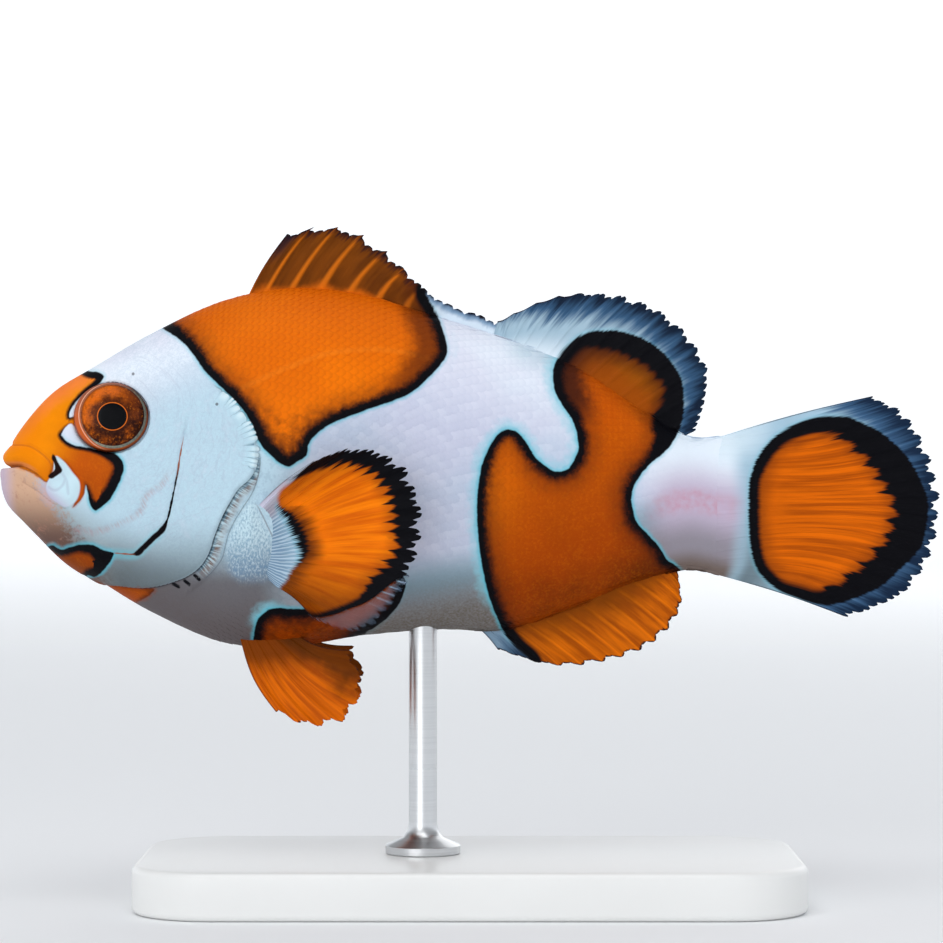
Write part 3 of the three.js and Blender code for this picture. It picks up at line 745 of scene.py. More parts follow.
def fan_point(fin, s, t):
    """A place in the side view at share s from ray to ray and t from root to tip."""
    root = curve(fin["root"], s - fin["lean"] * np.sin(math.pi * s))
    ray = curve(fin["tips"], s) - root
    length = np.linalg.norm(ray, axis=-1, keepdims=True)
    dip = fin["scallop"] * np.abs(np.sin(s * (fin["rays"] - 1) * math.pi))
    across = np.stack([-ray[..., 1], ray[..., 0]], axis=-1) / length
    bow = (fin["bow"] - fin.get("gather", 0) * np.sin(2 * math.pi * s)) * np.sin(math.pi * np.clip(t, 0, 1))
    way = t * (1 - dip * smooth(t, 0, 0.6))
    return root + ray * way[..., None] + across * bow[..., None], length[..., 0]


def swell(x, z):
    """Half the thickness of the flesh that runs out from the body's end over the tail fin."""
    half = np.interp(x, [59.8, 60.6, 61, 62.6, 65.6, 68, 71, 75],
                     [1.3, 1.68, 1.76, 1.64, 1.22, 0.8, 0.36, 0])
    high = 5.75 + (x - 61) * 0.4
    return half * (1 - np.clip((z + 2.95 + (x - 61) * 0.045) / high, -1, 1) ** 2) ** 0.62


def frayed(s, rays, number):
    """Uneven teeth of the margin, 0 at a tooth's tip and about 1 in a notch."""
    place = s * (rays - 1)
    notch = 0.6 * (1 - np.abs(np.sin(place * 3 * math.pi))) ** 2
    notch += 0.25 * (1 - np.abs(np.sin(place * 2.9))) ** 2
    return notch + 0.35 * (0.5 + 0.5 * np.sin(place * 2.1 + number) * np.sin(place * 5.7 + 2 * number))


def make_fin(name, fin, number, side=0):
    """A ribbed double sheet for one fin. A fin of the midline has side 0."""
    mesh = double_grid(name, (fin["rays"] - 1) * COLUMNS_PER_RAY, FIN_ROWS)
    grid = read_places(mesh)
    s, t, face = grid[:, 0] + 0.5, grid[:, 1] + 0.5, grid[:, 2] * 2 - 1
    _, length = fan_point(fin, s, t)
    t = t * (1 + ROOT_DEPTH / length) - ROOT_DEPTH / length
    place = s * (fin["rays"] - 1)
    torn = frayed(s, fin["rays"], number) * smooth(place, fin["calm"] - 1, fin["calm"] + 2)
    t = t - fin["fray"] * torn / length * smooth(t, 0.7, 1)
    spike = SPINE["length"] * ridge(np.sin(place * math.pi), 0.13) * smooth(t, 0.9, 1)
    spike = spike * (place > SPINE["first"]) * (place < SPINE["last"]) * (name == "dorsal_fin_front_sheet")
    flat, _ = fan_point(fin, s, t + spike / length)
    flat[:, 0] += 0.8 * spike ** 2
    flat[:, 1] -= 0.35 * spike ** 2
    x, z = flat.T
    rib = ridge(np.sin(place * math.pi), 0.35) * (1 - 0.5 * smooth(t, 0.4, 1))
    fork = ridge(np.sin(place * 2 * math.pi + math.pi / 2), 0.4) * smooth(t, 0.4, 0.7)
    out = np.clip(t, 0, 1)
    thick = fin["base"] * 0.55 + (FIN_EDGE - fin["base"] * 0.55) * np.sqrt(out)
    thick = thick * (1 - 0.35 * (1 - np.maximum(rib, fork)) * smooth(t, 0.0, 0.3))
    thick = thick + fin["flare"] * ridge(t + ROOT_DEPTH / length, 0.28)
    if name == "tail_fin_sheet":
        thick = np.maximum(thick, 2 * swell(x, z))
    if side:
        middle = side * (fin["near"] + (fin["far"] - fin["near"]) * t)
    else:
        middle = FIN_SWAY * out * out * np.sin(7 * s)
    middle = middle + 0.06 * np.sin(place * 2 * math.pi) * smooth(t, 0.3, 1)
    places = np.stack([x, middle + face * thick / 2, z], axis=1)
    write_places(mesh, to_frame(places))
    normals = read_normals(mesh)
    if np.sum(normals[:, 1] * face) < 0:
        mesh.flip_normals()
    first, _ = fan_point(fin, np.zeros_like(s), t)
    last, _ = fan_point(fin, np.ones_like(s), t)
    sides = np.minimum(np.hypot(*(flat - first).T), np.hypot(*(flat - last).T))
    fields = [PECTORAL_FIELD] if name.startswith("pectoral") else FIELDS.values()
    patch, core = field_distances(fields, x, z)
    store(mesh, {"patch": patch, "core": core, "ray": place, "out": t, "edge": (1 - t) * length,
                 "sides": sides, "keel": z - np.interp(x, CREST_X, KEEL)})
    return mesh


fins = {}
for number, (fin_name, fin) in enumerate(FINS.items()):
    if "near" in fin:
        for side_name, side in (("left", -1), ("right", 1)):
            node = f"{fin_name}_{side_name}"
            fins[node] = show(make_fin(node + "_sheet", fin, number, side), [node])
    else:
        fins[fin_name] = show(make_fin(fin_name + "_sheet", fin, number), [fin_name])

# %% [markdown]
# ## Eyes
# The eye is a dome with a steep rim, set in its socket. A sphere is flattened and turned to look outwards
# and a little ahead. The pupil's and the iris's own ellipses are kept as numbers that are 1 at their
# edges, so both are painted sharply. The ball fills the opening of the socket, as in the animal.

# %% Making the eyes
EYE_TURN = 0.1


def make_eye(name, side):
    """One eye, with the numbers that its rings are painted by."""
    bm = bmesh.new()
    bmesh.ops.create_uvsphere(bm, u_segments=128, v_segments=96, radius=1)
    mesh = finished_mesh(bm, name)
    ball = read_places(mesh)
    out = np.minimum(np.hypot(ball[:, 0], ball[:, 1]), 1)
    across, up = ball[:, 0] * SOCKET["wide"], ball[:, 1] * SOCKET["tall"]
    dome = np.sign(ball[:, 2]) * (1 - out ** 2.6) ** (1 / 2.6) * EYE["depth"]
    local = np.stack([across, side * dome, up], axis=1)
    c, s = math.cos(-EYE_TURN * side), math.sin(-EYE_TURN * side)
    about_z = np.array([[c, -s, 0], [s, c, 0], [0, 0, 1]])
    c, s = math.cos(EYE_TURN * side), math.sin(EYE_TURN * side)
    about_x = np.array([[1, 0, 0], [0, c, -s], [0, s, c]])
    middle = np.array([SOCKET["x"], side * (EYE["y"] + 0.05), SOCKET["z"]])
    write_places(mesh, to_frame(local @ about_z.T @ about_x.T + middle))
    if side > 0:
        mesh.flip_normals()
    store(mesh, {"pupil": np.hypot((across - 0.1) / 1.2, (up + 0.09) / 1.12),
                 "iris": np.hypot((across - 0.12) / 2.68, (up - 0.07) / 2.63), "rim": out * SOCKET["wide"],
                 "east": across / SOCKET["wide"], "north": up / SOCKET["tall"]})
    return mesh


eyes = [show(make_eye("eye_left_ball", -1), ["eye_left"]),
        show(make_eye("eye_right_ball", 1), ["eye_right"])]

# %% [markdown]
# ## The stand
# A museum holds a small model on one rod. The base is a block with rounded corners and a soft edge,
# made by two bevels, and the rod with its foot is turned by one spin.

# %% Base and rod
BASE_CORNER = 7.0
BASE_EDGE = 0.6
ROD = {"radius": 1.2, "foot": 3.2, "foot_height": 0.8, "neck": 2.6}


def make_base():
    """The block under the fish, with the size of its solid."""
    low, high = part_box("stand_base")
    bm = bmesh.new()
    bmesh.ops.create_cube(bm, size=1)
    bmesh.ops.scale(bm, vec=high - low, verts=bm.verts)
    bmesh.ops.translate(bm, vec=(low + high) / 2, verts=bm.verts)
    upright = [e for e in bm.edges if abs(e.verts[0].co.z - e.verts[1].co.z) > 0.5 * (high - low).z]
    bmesh.ops.bevel(bm, geom=upright, offset=BASE_CORNER * MM, segments=16, profile=0.5, affect="EDGES",
                    material=-1)
    rims = [e for f in bm.faces if abs(f.normal.z) > 0.9 for e in f.edges]
    bmesh.ops.bevel(bm, geom=rims, offset=BASE_EDGE * MM, segments=5, profile=0.5, affect="EDGES",
                    material=-1)
    return finished_mesh(bm, "stand_base_block")


def make_rod():
    """The rod and its foot as one turned piece."""
    low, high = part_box("stand_rod")
    middle = (low + high) / 2
    radius = ROD["radius"]
    top = (high.z - low.z) / MM
    profile = [(0, 0), (ROD["foot"] - 0.1, 0), (ROD["foot"], 0.1), (ROD["foot"], ROD["foot_height"] - 0.1),
               (ROD["foot"] - 0.1, ROD["foot_height"]), (radius + 0.5, 1.4), (radius + 0.12, 2.0),
               (radius, ROD["neck"]), (radius, top), (0, top)]
    return turned("stand_rod_turned", [(r * MM, low.z + h * MM) for r, h in profile], middle, 64, 0.001 * MM)


base = show(make_base(), ["stand_base"])
rod = show(make_rod(), ["stand_rod"])
for piece in (base, rod):
    piece.data.set_sharp_from_angle(angle=math.radians(40))

# %% [markdown]
# ## Finishes
# Shader maths reads best as plain expressions. A small class wraps one number in the shader, and an
# expression on it adds the Math nodes. One method makes any other node from its type, its settings and
# its inputs. Colours are then laid on in coats, so a finish below is a short recipe and not a tangle of
# links.

# %% Numbers and nodes of a finish
def paint(red, green, blue):
    """A colour given as on a screen, 0 to 255, as the shader's linear colour."""
    def linear(part):
        part = part / 255
        return part / 12.92 if part <= 0.04045 else ((part + 0.055) / 1.055) ** 2.4
    return (linear(red), linear(green), linear(blue), 1.0)


class Value:
    """One number in a finish. Sums, products and quotients of values add Math nodes."""

    def __init__(self, finish, socket):
        self.finish = finish
        self.socket = socket

    def math(self, operation, *others):
        made = self.finish.node("ShaderNodeMath", {"operation": operation}, dict(enumerate([self, *others])))
        return Value(self.finish, made.outputs[0])

    def __add__(self, other):
        return self.math("ADD", other)

    def __sub__(self, other):
        return self.math("SUBTRACT", other)

    def __mul__(self, other):
        return self.math("MULTIPLY", other)

    def __truediv__(self, other):
        return self.math("DIVIDE", other)

    def __radd__(self, other):
        return self + other

    def __rmul__(self, other):
        return self * other

    def __rsub__(self, other):
        return self * -1 + other

    def __abs__(self):
        return self.math("ABSOLUTE")

    def most(self, other):
        return self.math("MAXIMUM", other)

    def sine(self):
        return self.math("SINE")

    def power(self, exponent):
        return self.math("POWER", exponent)

    def smooth(self, low, high):
        """0 below low, 1 above high and an S between them; low may be the larger number."""
        if low > high:
            return 1 - self.smooth(high, low)
        made = self.finish.node("ShaderNodeMapRange", {"interpolation_type": "SMOOTHSTEP"},
                                {"Value": self, "From Min": low, "From Max": high})
        return Value(self.finish, made.outputs[0])


class Finish:
    """A material with one Principled shader, and methods that add nodes to it."""

    def __init__(self, name, **fixed):
        self.material = bpy.data.materials.new(name)
        self.material.use_nodes = True
        self.tree = self.material.node_tree
        self.shader = self.tree.nodes["Principled BSDF"]
        for socket, value in fixed.items():
            self.shader.inputs[socket.replace("_", " ")].default_value = value

    def node(self, kind, settings, inputs):
        made = self.tree.nodes.new(kind)
        for key, value in settings.items():
            setattr(made, key, value)
        for key, value in inputs.items():
            self.feed(made.inputs[key], value)
        return made

    def feed(self, socket, value):
        value = value.socket if isinstance(value, Value) else value
        if isinstance(value, bpy.types.NodeSocket):
            self.tree.links.new(value, socket)
        else:
            socket.default_value = value

    def drive(self, name, value):
        """Links a value or colour to a socket of the shader."""
        self.feed(self.shader.inputs[name], value)

    def number(self, name):
        return Value(self, self.node("ShaderNodeAttribute", {"attribute_name": name}, {}).outputs["Fac"])

    def take(self, names):
        """Takes the named numbers of the mesh, each under its own name."""
        for name in names.split():
            setattr(self, name, self.number(name))

    def place(self):
        return self.node("ShaderNodeTexCoord", {}, {}).outputs["Object"]

    def parts(self, vector):
        split = self.node("ShaderNodeSeparateXYZ", {}, {"Vector": vector})
        return [Value(self, split.outputs[i]) for i in range(3)]

    def vector(self, x, y, z):
        return self.node("ShaderNodeCombineXYZ", {}, {0: x, 1: y, 2: z}).outputs[0]

    def noise(self, vector, scale, detail=2.0, roughness=0.5):
        inputs = {"Vector": vector, "Scale": scale, "Detail": detail, "Roughness": roughness}
        return Value(self, self.node("ShaderNodeTexNoise", {}, inputs).outputs["Fac"])

    def mix(self, share, first, second):
        """The first colour with a share of the second. A plain colour is given as on a screen."""
        first, second = (paint(*c) if isinstance(c, tuple) and len(c) == 3 else c for c in (first, second))
        settings = {"data_type": "RGBA", "blend_type": "MIX", "clamp_factor": True}
        return self.node("ShaderNodeMix", settings, {0: share, 6: first, 7: second}).outputs[2]

    def coats(self, colour, *rows):
        """Lays coats over a first colour: each row is how much of the coat, from 0 to 1, and its colour."""
        for share, coat in rows:
            colour = self.mix(share, colour, coat)
        return colour

    def bump(self, height, distance, strength=1.0):
        inputs = {"Height": height, "Distance": distance, "Strength": strength}
        self.drive("Normal", self.node("ShaderNodeBump", {}, inputs).outputs[0])


GRAIN = 1 / MM
SHEEN = 0.05
BLACK = paint(8, 8, 13)

# %% [markdown]
# ## The finish of skin and scales
# Skin and scales share one finish, which is the surest way to give both the same markings. It is laid
# on like a painter's coats: white with its greys, the features of the head, the turquoise thread, the
# black rims and last the orange. The belly's greys and the browner orange below are partly painted
# shade. Each row below is one coat: how much of it, and its colour.

# %% White ground
def stalk_white_and_shade(d, keel, rough):
    """The tail stalk's white by the height over its keel: mauve with pink spots, grey below; the grey below
    is partly painted shade.
    """
    return d.coats(
        (226, 236, 246),
        (keel.smooth(10.5, 6.4), (192, 178, 200)),
        (abs(keel - 6.0).smooth(1.5, 0.3) * (0.4 + rough * 1.6), (196, 142, 160)),
        # greyer towards the keel: partly painted shade
        (keel.smooth(5.6, 2.4), (146, 140, 150)),
        (keel.smooth(2.2, 0.4), (118, 104, 98)))


def shaded_white_ground(d):
    """White above, lilac on the flank and taupe under the belly: the lighter back and darker belly are
    partly the fish's own countershading, partly painted light from above and painted shade below.
    """
    x = d.x
    granule = (d.fine + d.rough).smooth(-0.05, 0.2) * d.gill.smooth(0.1, -0.1) * d.z.smooth(7, 4)
    low = (d.keel - x.smooth(34, 42)).smooth(6.9, 0.6)
    return d.coats(
        (188, 200, 220),
        # lighter towards the back: partly painted light from above
        (d.crest.smooth(10, 1), (232, 240, 249)),
        (d.broad.smooth(0.35, 0.65) * 0.45, (212, 206, 226)),
        (x.smooth(28, 23) * d.crest.smooth(3, 9) * 0.85, (186, 216, 228)),
        (d.crest.smooth(3, 0.5) * x.smooth(42, 45) * 0.6, (172, 200, 212)),
        (granule * x.smooth(28, 23) * 0.35, (150, 182, 200)),
        ((d.shade - 0.3) * 0.25 * d.coat, (240, 242, 252)),
        (d.rim.smooth(0.5, 1.0) * 0.12 * d.coat, (168, 180, 208)),
        (low * (1 - low) * x.smooth(25, 29) * 3.6, (138, 174, 192)),
        # taupe under the belly: partly painted shade
        (low * (0.94 + d.fine * 0.4), (104, 97, 89)),
        (x.smooth(53.5, 57.5), stalk_white_and_shade(d, d.keel, d.rough)))


# %% Features of the head
def jaw(d, colour):
    """The tan lower jaw, lilac in front and grey below, that fades into the white cheek."""
    tan = d.coats(
        (104, 80, 72),
        (d.z.smooth(-6.0, -1.0), (210, 170, 142)),
        ((d.rough * 2 + d.fine).smooth(0.0, 0.6) * 0.6, (176, 126, 108)),
        (d.x.smooth(1.9, 0.3) * 0.75, (192, 180, 206)))
    reach = (d.x + 0.6 * (d.z + 3.5) + (d.rough + d.fine) * 3).smooth(6.8, 4.4)
    speck = d.fine.smooth(0.16, 0.26) * d.below.smooth(1.5, 3.0) * d.x.smooth(12, 8) * d.z.smooth(-6.5, -5)
    return d.coats(
        colour,
        (d.below.smooth(-0.05, 0.12) * d.x.smooth(13.0, 8.0) * reach * d.bare, tan),
        (speck * d.bare * 0.5, (128, 76, 62)))


def cheek(d, colour):
    """Fine wrinkles, the blushing fold, painted shade low on the gill cover and the black-ended groove of
    the cheek plate.
    """
    x, z, along = d.x, d.z, d.groove_along
    wrinkle = abs(d.noise(d.vector(d.eye * 0.9 + d.broad * 4, (x + z) * 0.22, 0.0), 1.0, 3.0, 0.6) - 0.5)
    area = d.bare * x.smooth(10.5, 13) * d.gill.smooth(0.2, 1.5) * z.smooth(-8, -5)
    grain = (d.fine + d.tiny + d.rough).smooth(-0.3, 0.3) * d.bare * x.smooth(6, 12) * x.smooth(25, 21)
    speckle = d.noise(d.vector(x * 5 + z * 3, (z - x) * 0.5, 0.0), 1.0, 3.0).smooth(0.4, 0.62)
    fold = (d.cheek_fold + d.rough * 0.5).smooth(0.5, 0.0) * d.bare * z.smooth(1.0, -1.5)
    # painted shade: the gill cover greys towards its lower edge
    shade = z.smooth(-3.4, -9.2) * x.smooth(8, 11) * d.bare * d.gill.smooth(-0.3, 0.3)
    width = 0.045 + 0.03 * along.smooth(1.5, 4) + 0.16 * along.smooth(7.6, 8.6) * along.smooth(12.0, 11.4)
    line = ((abs(d.groove) + d.rough * 0.12) / width).smooth(1.3, 0.7) * d.bare
    dark = along.smooth(2.4, 4.5) * along.smooth(12.2, 11.6)
    near = abs(d.groove).smooth(0.7, 0.15) * along.smooth(8.0, 9.5) * 0.4
    return d.coats(
        colour,
        (area * wrinkle.smooth(0.03, 0.0) * 0.16, (150, 152, 178)),
        (grain * 0.3, (158, 180, 200)),
        (area * (d.rough * 2).smooth(0.0, 0.6) * 0.3, (222, 230, 242)),
        (fold * (0.1 + speckle * 0.32), (172, 124, 126)),
        # painted shade low on the gill cover
        (shade * 0.75, (88, 98, 102)),
        (line * along.smooth(0.2, 1.2), d.mix(dark, (160, 96, 76), (14, 9, 12))),
        (near * d.bare * line.smooth(0.5, 0.0), (110, 204, 220)))


def gill_membrane(d, colour):
    """The throat, the pleated membrane behind the cover with a painted shadow along the cover's edge, and
    the granular base of the fin.
    """
    x, z = d.x, d.z
    outside = d.gill.smooth(0.03, -0.03) * d.gill_live * d.bare
    throat = (outside + d.coat) * z.smooth(-5.5, -9.5) * x.smooth(27, 22)
    bead = d.noise(d.vector(x * 6.5, 0.0, z * 3.6), 1.0, 3.0, 0.6)
    lobe = d.coats(
        (124, 146, 166),
        (z.smooth(-8.5, -4.5), (188, 214, 224)),
        (bead.smooth(0.54, 0.38) * 0.5, (96, 138, 170)),
        (bead.smooth(0.48, 0.64) * 0.45, (214, 232, 240)))
    border = abs(d.fin_lobe).smooth(0.09, 0.03) * x.smooth(22.0, 22.6) * z.smooth(-8.6, -8)
    pleats = d.noise(d.vector(d.fold_along * 4.6, d.fold * 0.7, 0.0), 1.0, 3.0, 0.6)
    band = outside * d.fold.smooth(-0.1, 0.05) * d.fold_live
    band = band * (d.gill + d.rough * 0.5).smooth(-1.25, -0.35)
    # dark teal by the cover's edge is a painted shadow; the brown in the band's middle is the membrane's own
    # colour
    pit = d.mix(abs(d.gill + 0.65).smooth(0.5, 0.15), (66, 100, 118), (120, 100, 92))
    line = abs(d.fold + d.rough * 0.1).smooth(0.07, 0.02) * d.fold_live
    return d.coats(
        colour,
        (throat * 0.9, (96, 88, 90)),
        ((d.fin_lobe + d.rough * 0.6).smooth(0.6, -0.6) * d.bare * z.smooth(-10, -8), lobe),
        (border * d.bare * 0.5, (104, 96, 110)),
        # painted shadow under the cover's edge, with the brown smear
        (band * (0.85 + d.rough), pit),
        (band * pleats.smooth(0.42, 0.62) * 0.8, (196, 222, 232)),
        (line * outside * 0.45, (84, 88, 100)))


def frill(d, ground, colour):
    """The cover's edge over what lies behind it: petals with a painted highlight in their middles, split by
    gaps darkened with painted shade, and its painted shadow.
    """
    gill = d.gill
    wave = abs((d.petal * math.pi).sine())
    contour = gill - (1 - wave).power(2) * 0.42 * d.frilled + d.rough * 0.08
    gap_shade = wave.smooth(0.22, 0.03) * (gill + d.broad * 1.4 + d.rough).smooth(FRILL["reach"] + 0.7, 0.5)
    petal = d.coats(
        ground,
        (gill.smooth(1.8, 0.2) * 0.5, (184, 220, 232)),
        # painted highlight in the middle of each petal near the rim
        (wave.smooth(0.4, 0.9) * gill.smooth(1.0, 0.1) * 0.6, (232, 246, 250)),
        # painted shade in the gaps between the petals
        (gap_shade * 0.9, (74, 108, 130)))
    live = d.bare * d.gill_live
    over = contour.smooth(-0.03, 0.04) * gill.smooth(2.9, 2.0) * live * d.x.smooth(14, 16)
    shadow = contour.smooth(-0.2, -0.05) * contour.smooth(0.02, -0.03) * live
    return d.coats(
        colour,
        (over * (1 - d.frilled), ground),
        (over * d.frilled, petal),
        (shadow * (0.3 + 0.45 * d.z.smooth(0, -4)), (40, 40, 50)))


def mouth_corner(d, colour):
    """The lobe at the corner of the mouth, with painted shade along its folds, and its brown wedge, laid
    over the orange.
    """
    x, lobe = d.x, d.lobe
    white = d.coats(
        (196, 180, 206),
        ((x + d.z).smooth(1.8, 4.4), (200, 226, 236)),
        # painted shade along the lobe's folds
        (d.lobe_fold.smooth(0.2, 0.02) * 0.28, (150, 150, 176)),
        (d.wedge.smooth(0.9, 0.1) * 0.3, (170, 190, 204)))
    veil = lobe.smooth(1.0, -0.1) * d.below.smooth(0.0, 0.2) * x.smooth(5.4, 4.6) * 0.6
    inner = (lobe + x.smooth(4.6, 3.8) * (0.15 + d.rough * 1.2)).smooth(0.05, -0.14)
    border = lobe.smooth(0.5, 0.1) * x.smooth(5.8, 6.4) * 0.5
    return d.coats(
        colour,
        (veil * d.bare, (194, 172, 188)),
        (border * d.bare * d.z.smooth(-3, -2), (188, 74, 6)),
        (inner * d.bare, white),
        ((d.wedge + d.rough * 0.2).smooth(0.1, -0.04) * d.bare, (26, 11, 9)))


def pore(d, x, z, size):
    """1 in a pore of the given size at a place in the side view."""
    away = abs(d.x - x).power(2) + abs(d.z - z).power(2)
    return away.smooth(3 * size ** 2, size ** 2) * 0.7


def dark_details(d, colour):
    """The mouth's slit, the lip's fold and rim, the socket's fold, the gill marks and two pores."""
    rim = d.below.smooth(-0.5, -0.25) * d.below.smooth(0.0, -0.08) * d.slit_along.smooth(4.0, 2.6)
    fold = abs(d.eye - 0.1).smooth(0.1, 0.03) * (d.x + d.z * 0.8).smooth(13.0, 16.0)
    return d.coats(
        colour,
        (rim * d.bare * d.x.smooth(4.2, 3.6) * 0.6, (212, 132, 84)),
        (d.slit.smooth(0.11, 0.02) * d.slit_along.smooth(4.6, 3.6) * d.bare * 0.75, (132, 62, 26)),
        (d.lip_fold.smooth(0.13, 0.02) * d.bare * 0.55, (186, 96, 34)),
        (d.jaw_fold.smooth(0.1, 0.02) * d.bare * 0.3, (150, 110, 96)),
        (fold * d.bare * 0.8, (72, 66, 76)),
        (d.mark.smooth(0.2, 0.1) * d.bare, (10, 12, 18)),
        (pore(d, 11.7, 8.2, 0.09), (60, 50, 56)),
        (pore(d, 18.95, 5.6, 0.09), (60, 50, 56)))


# %% Orange fields, rims and the whole finish
def shaded_orange_field(d):
    """Orange, brighter on the snout and back and browner below, with the scales' grain; the browning towards
    the belly and under the chin is partly painted shade.
    """
    x, z = d.x, d.z
    rear = x.smooth(40, 46)
    pinkish = (d.crest + d.rough * 0.8).smooth(2.0, 0.4) * x.smooth(1.0, 2.5)
    snout = d.coats(
        (255, 150, 0),
        ((x - z * 0.5).smooth(3.2, 7.4), (196, 88, 6)),
        (pinkish * (0.75 - 0.5 * x.smooth(5, 2)), (252, 132, 66)),
        (z.smooth(1.4, -1.0) * x.smooth(6.5, 8.0) * 0.5, (160, 66, 4)))
    arch = z.smooth(3.0, 6.5) * x.smooth(46, 47) * x.smooth(53, 49)
    tip = z.smooth(7.0, 2.5) * x.smooth(19, 21) * x.smooth(31, 28)
    tail_end = x.smooth(32, 36) * x.smooth(40, 39)
    wide = d.core + d.rough * (1.5 + tip * 3) + arch * 0.8 + tail_end
    dusk = wide.smooth(-2.2, 0.1) * (0.5 + 0.45 * arch + 0.2 * tip + 0.3 * tail_end)
    dusk = dusk * (0.25 + 0.75 * x.smooth(12, 14)) * (1 - 0.5 * x.smooth(60, 62))
    return d.coats(
        (96, 36, 2),
        # darker towards the keel: partly painted shade
        (d.keel.smooth(1.0, 16), (244, 120, 2)),
        (rear * 0.7, (164, 62, 0)),
        # rear field darker low down: partly painted shade
        (rear * d.keel.smooth(5.6, 0.4) * 0.95, (92, 38, 2)),
        (x.smooth(60, 63), (218, 98, 2)),
        (d.crest.smooth(6.0, 0.0) * 0.45, (196, 88, 12)),
        (d.crest.smooth(2.2, 0.0) * rear * 0.75, (140, 66, 8)),
        (x.smooth(27, 18) * 0.4, (208, 98, 6)),
        (x.smooth(12, 10.5) * z.smooth(-5.5, -4.5), snout),
        # darker under the chin: painted shade
        (x.smooth(12, 10.5) * z.smooth(-5, -6) * 0.45, (96, 40, 6)),
        (d.broad.smooth(0.35, 0.65) * 0.35, (200, 80, 0)),
        ((d.fine * 2 + d.rough).smooth(-0.2, 0.8) * 0.16, (255, 140, 8)),
        (d.side_line.smooth(0.4, 0.0) * x.smooth(44, 34) * 0.12, (255, 160, 50)),
        (d.rim.smooth(0.55, 1.0) * 0.18 * d.coat, (160, 58, 0)),
        (dusk, d.mix(arch, (84, 32, 8), (62, 26, 14))))


def dress_body():
    """The finish of the skin and its scales."""
    d = Finish("clownfish_skin", Roughness=0.5, Specular_IOR_Level=SHEEN)
    place = d.place()
    across, _, height = d.parts(place)
    d.take("patch core crest keel side_line rim shade plate slit slit_along lip_fold jaw_fold cheek_fold "
           "below groove groove_along gill gill_live fold fold_along fold_live petal frilled lobe "
           "lobe_fold wedge fin_lobe mark eye")
    d.coat, d.bare = d.plate, 1 - d.plate
    d.x = x = (across - SNOUT) / MM
    d.z = z = (height - MOUTH) / MM
    d.rough = d.noise(place, 1.6 * GRAIN, 3.0) - 0.5
    d.fine = d.noise(place, 5 * GRAIN, 3.0) - 0.5
    d.tiny = d.noise(place, 11 * GRAIN, 2.0) - 0.5
    d.broad = d.noise(place, 0.12 * GRAIN, 2.0)
    ground = cheek(d, jaw(d, shaded_white_ground(d)))
    rim = (d.core - d.patch).smooth(0.1, 0.5)
    near = x.smooth(38, 40) * x.smooth(56, 50) * d.keel.smooth(1.5, 4) * 0.6
    corner = x.smooth(20.8, 21.8) * x.smooth(25, 23) * z.smooth(-10.4, -11.2) * z.smooth(-13.4, -12)
    wide = (d.patch + d.rough * 1.2).smooth(1.2, 0.1) * (near + corner * 0.7)
    halo = (d.patch + d.rough * 0.3).smooth(0.4, 0.0) * rim * (0.35 + 0.3 * d.crest.smooth(1, 8))
    halo = halo * (1 - x.smooth(26, 29) * x.smooth(38, 36) * z.smooth(-6, -8) * 0.85)
    tight = x.smooth(10, 14) + z.smooth(1.5, 0.5) * 0.35
    inner = d.core + (d.rough * 0.6 + d.fine * 0.4) * (0.2 + 0.8 * tight)
    colour = d.coats(
        gill_membrane(d, ground),
        (wide * rim, (136, 204, 220)),
        (halo, (84, 184, 204)),
        ((d.patch + d.rough * 0.16).smooth(0.07, -0.07), BLACK),
        ((inner / (0.16 + 0.26 * tight)).smooth(0.85, -1.25), shaded_orange_field(d)))
    d.drive("Base Color", dark_details(d, mouth_corner(d, frill(d, ground, colour))))
    d.drive("Roughness", 0.5 + d.fine * 0.2)
    d.bump(d.fine * 0.7 + d.rough * 0.5, 0.05 * MM, 0.6)
    return d.material


body_finish = dress_body()
for piece in [skin] + coat:
    piece.data.materials.append(body_finish)

# %% [markdown]
# ## The finish of the fins
# Rays are paler or darker lines that fork towards the margin. The ray number and the share of the way
# to the tip are on the vertices, so one wave follows every ray however the fin bends, and noise drawn
# out along the rays gives the streaks.

# %% Fins
def fin_outside(d, root, outer, reach, start, stalk, pleats):
    """The colours outside the field: three from root to margin, a pale root, darker low on the tail's root
    partly as painted shade like the stalk's, and the pectoral's fringe.
    """
    number, out, edge = d.ray, d.out, d.edge
    near, middle, far = outer
    depth = edge + d.streak * reach * 1.8 + d.thread * reach * 0.5 + number.smooth(start + 0.01, 0) * 3
    height = (d.keel - out * 5).smooth(8.5, 11) * stalk * 5
    # the tail's root darker low down: partly painted shade, like the stalk's
    low = d.keel.smooth(11, 0) * out.smooth(0.08, 0.2) * out.smooth(0.6, 0.2) * stalk * 6
    wave = (number * (4 * math.pi) + d.thread * 6 + d.cloud * 5).sine()
    halo = d.patch.smooth(0.4, 0.0) * d.rim.smooth(0.1, 0.5) * 0.35 * edge.smooth(reach * 0.6, reach * 1.6)
    return d.coats(
        near,
        (depth.smooth(reach * 1.6, reach * 0.7), middle),
        (depth.smooth(reach * 0.9, reach * 0.1), far),
        (out.smooth(stalk or 0.45, stalk * 0.3), root),
        (height * out.smooth(0.5, 0.1), (214, 230, 240)),
        # partly painted shade low on the tail's root
        (low, (104, 120, 128)),
        (d.fringe, d.mix(out.smooth(0.02, 0.2), (112, 142, 168), (150, 180, 200))),
        (d.fringe * wave.smooth(-0.4, 0.9) * 0.55, (206, 224, 236)),
        (d.fringe * number.smooth(4.2, 2.4) * 0.6, (164, 138, 146)),
        (number.smooth(1.6, 1.0) * pleats, (206, 204, 222)),
        (halo, (104, 184, 204)))


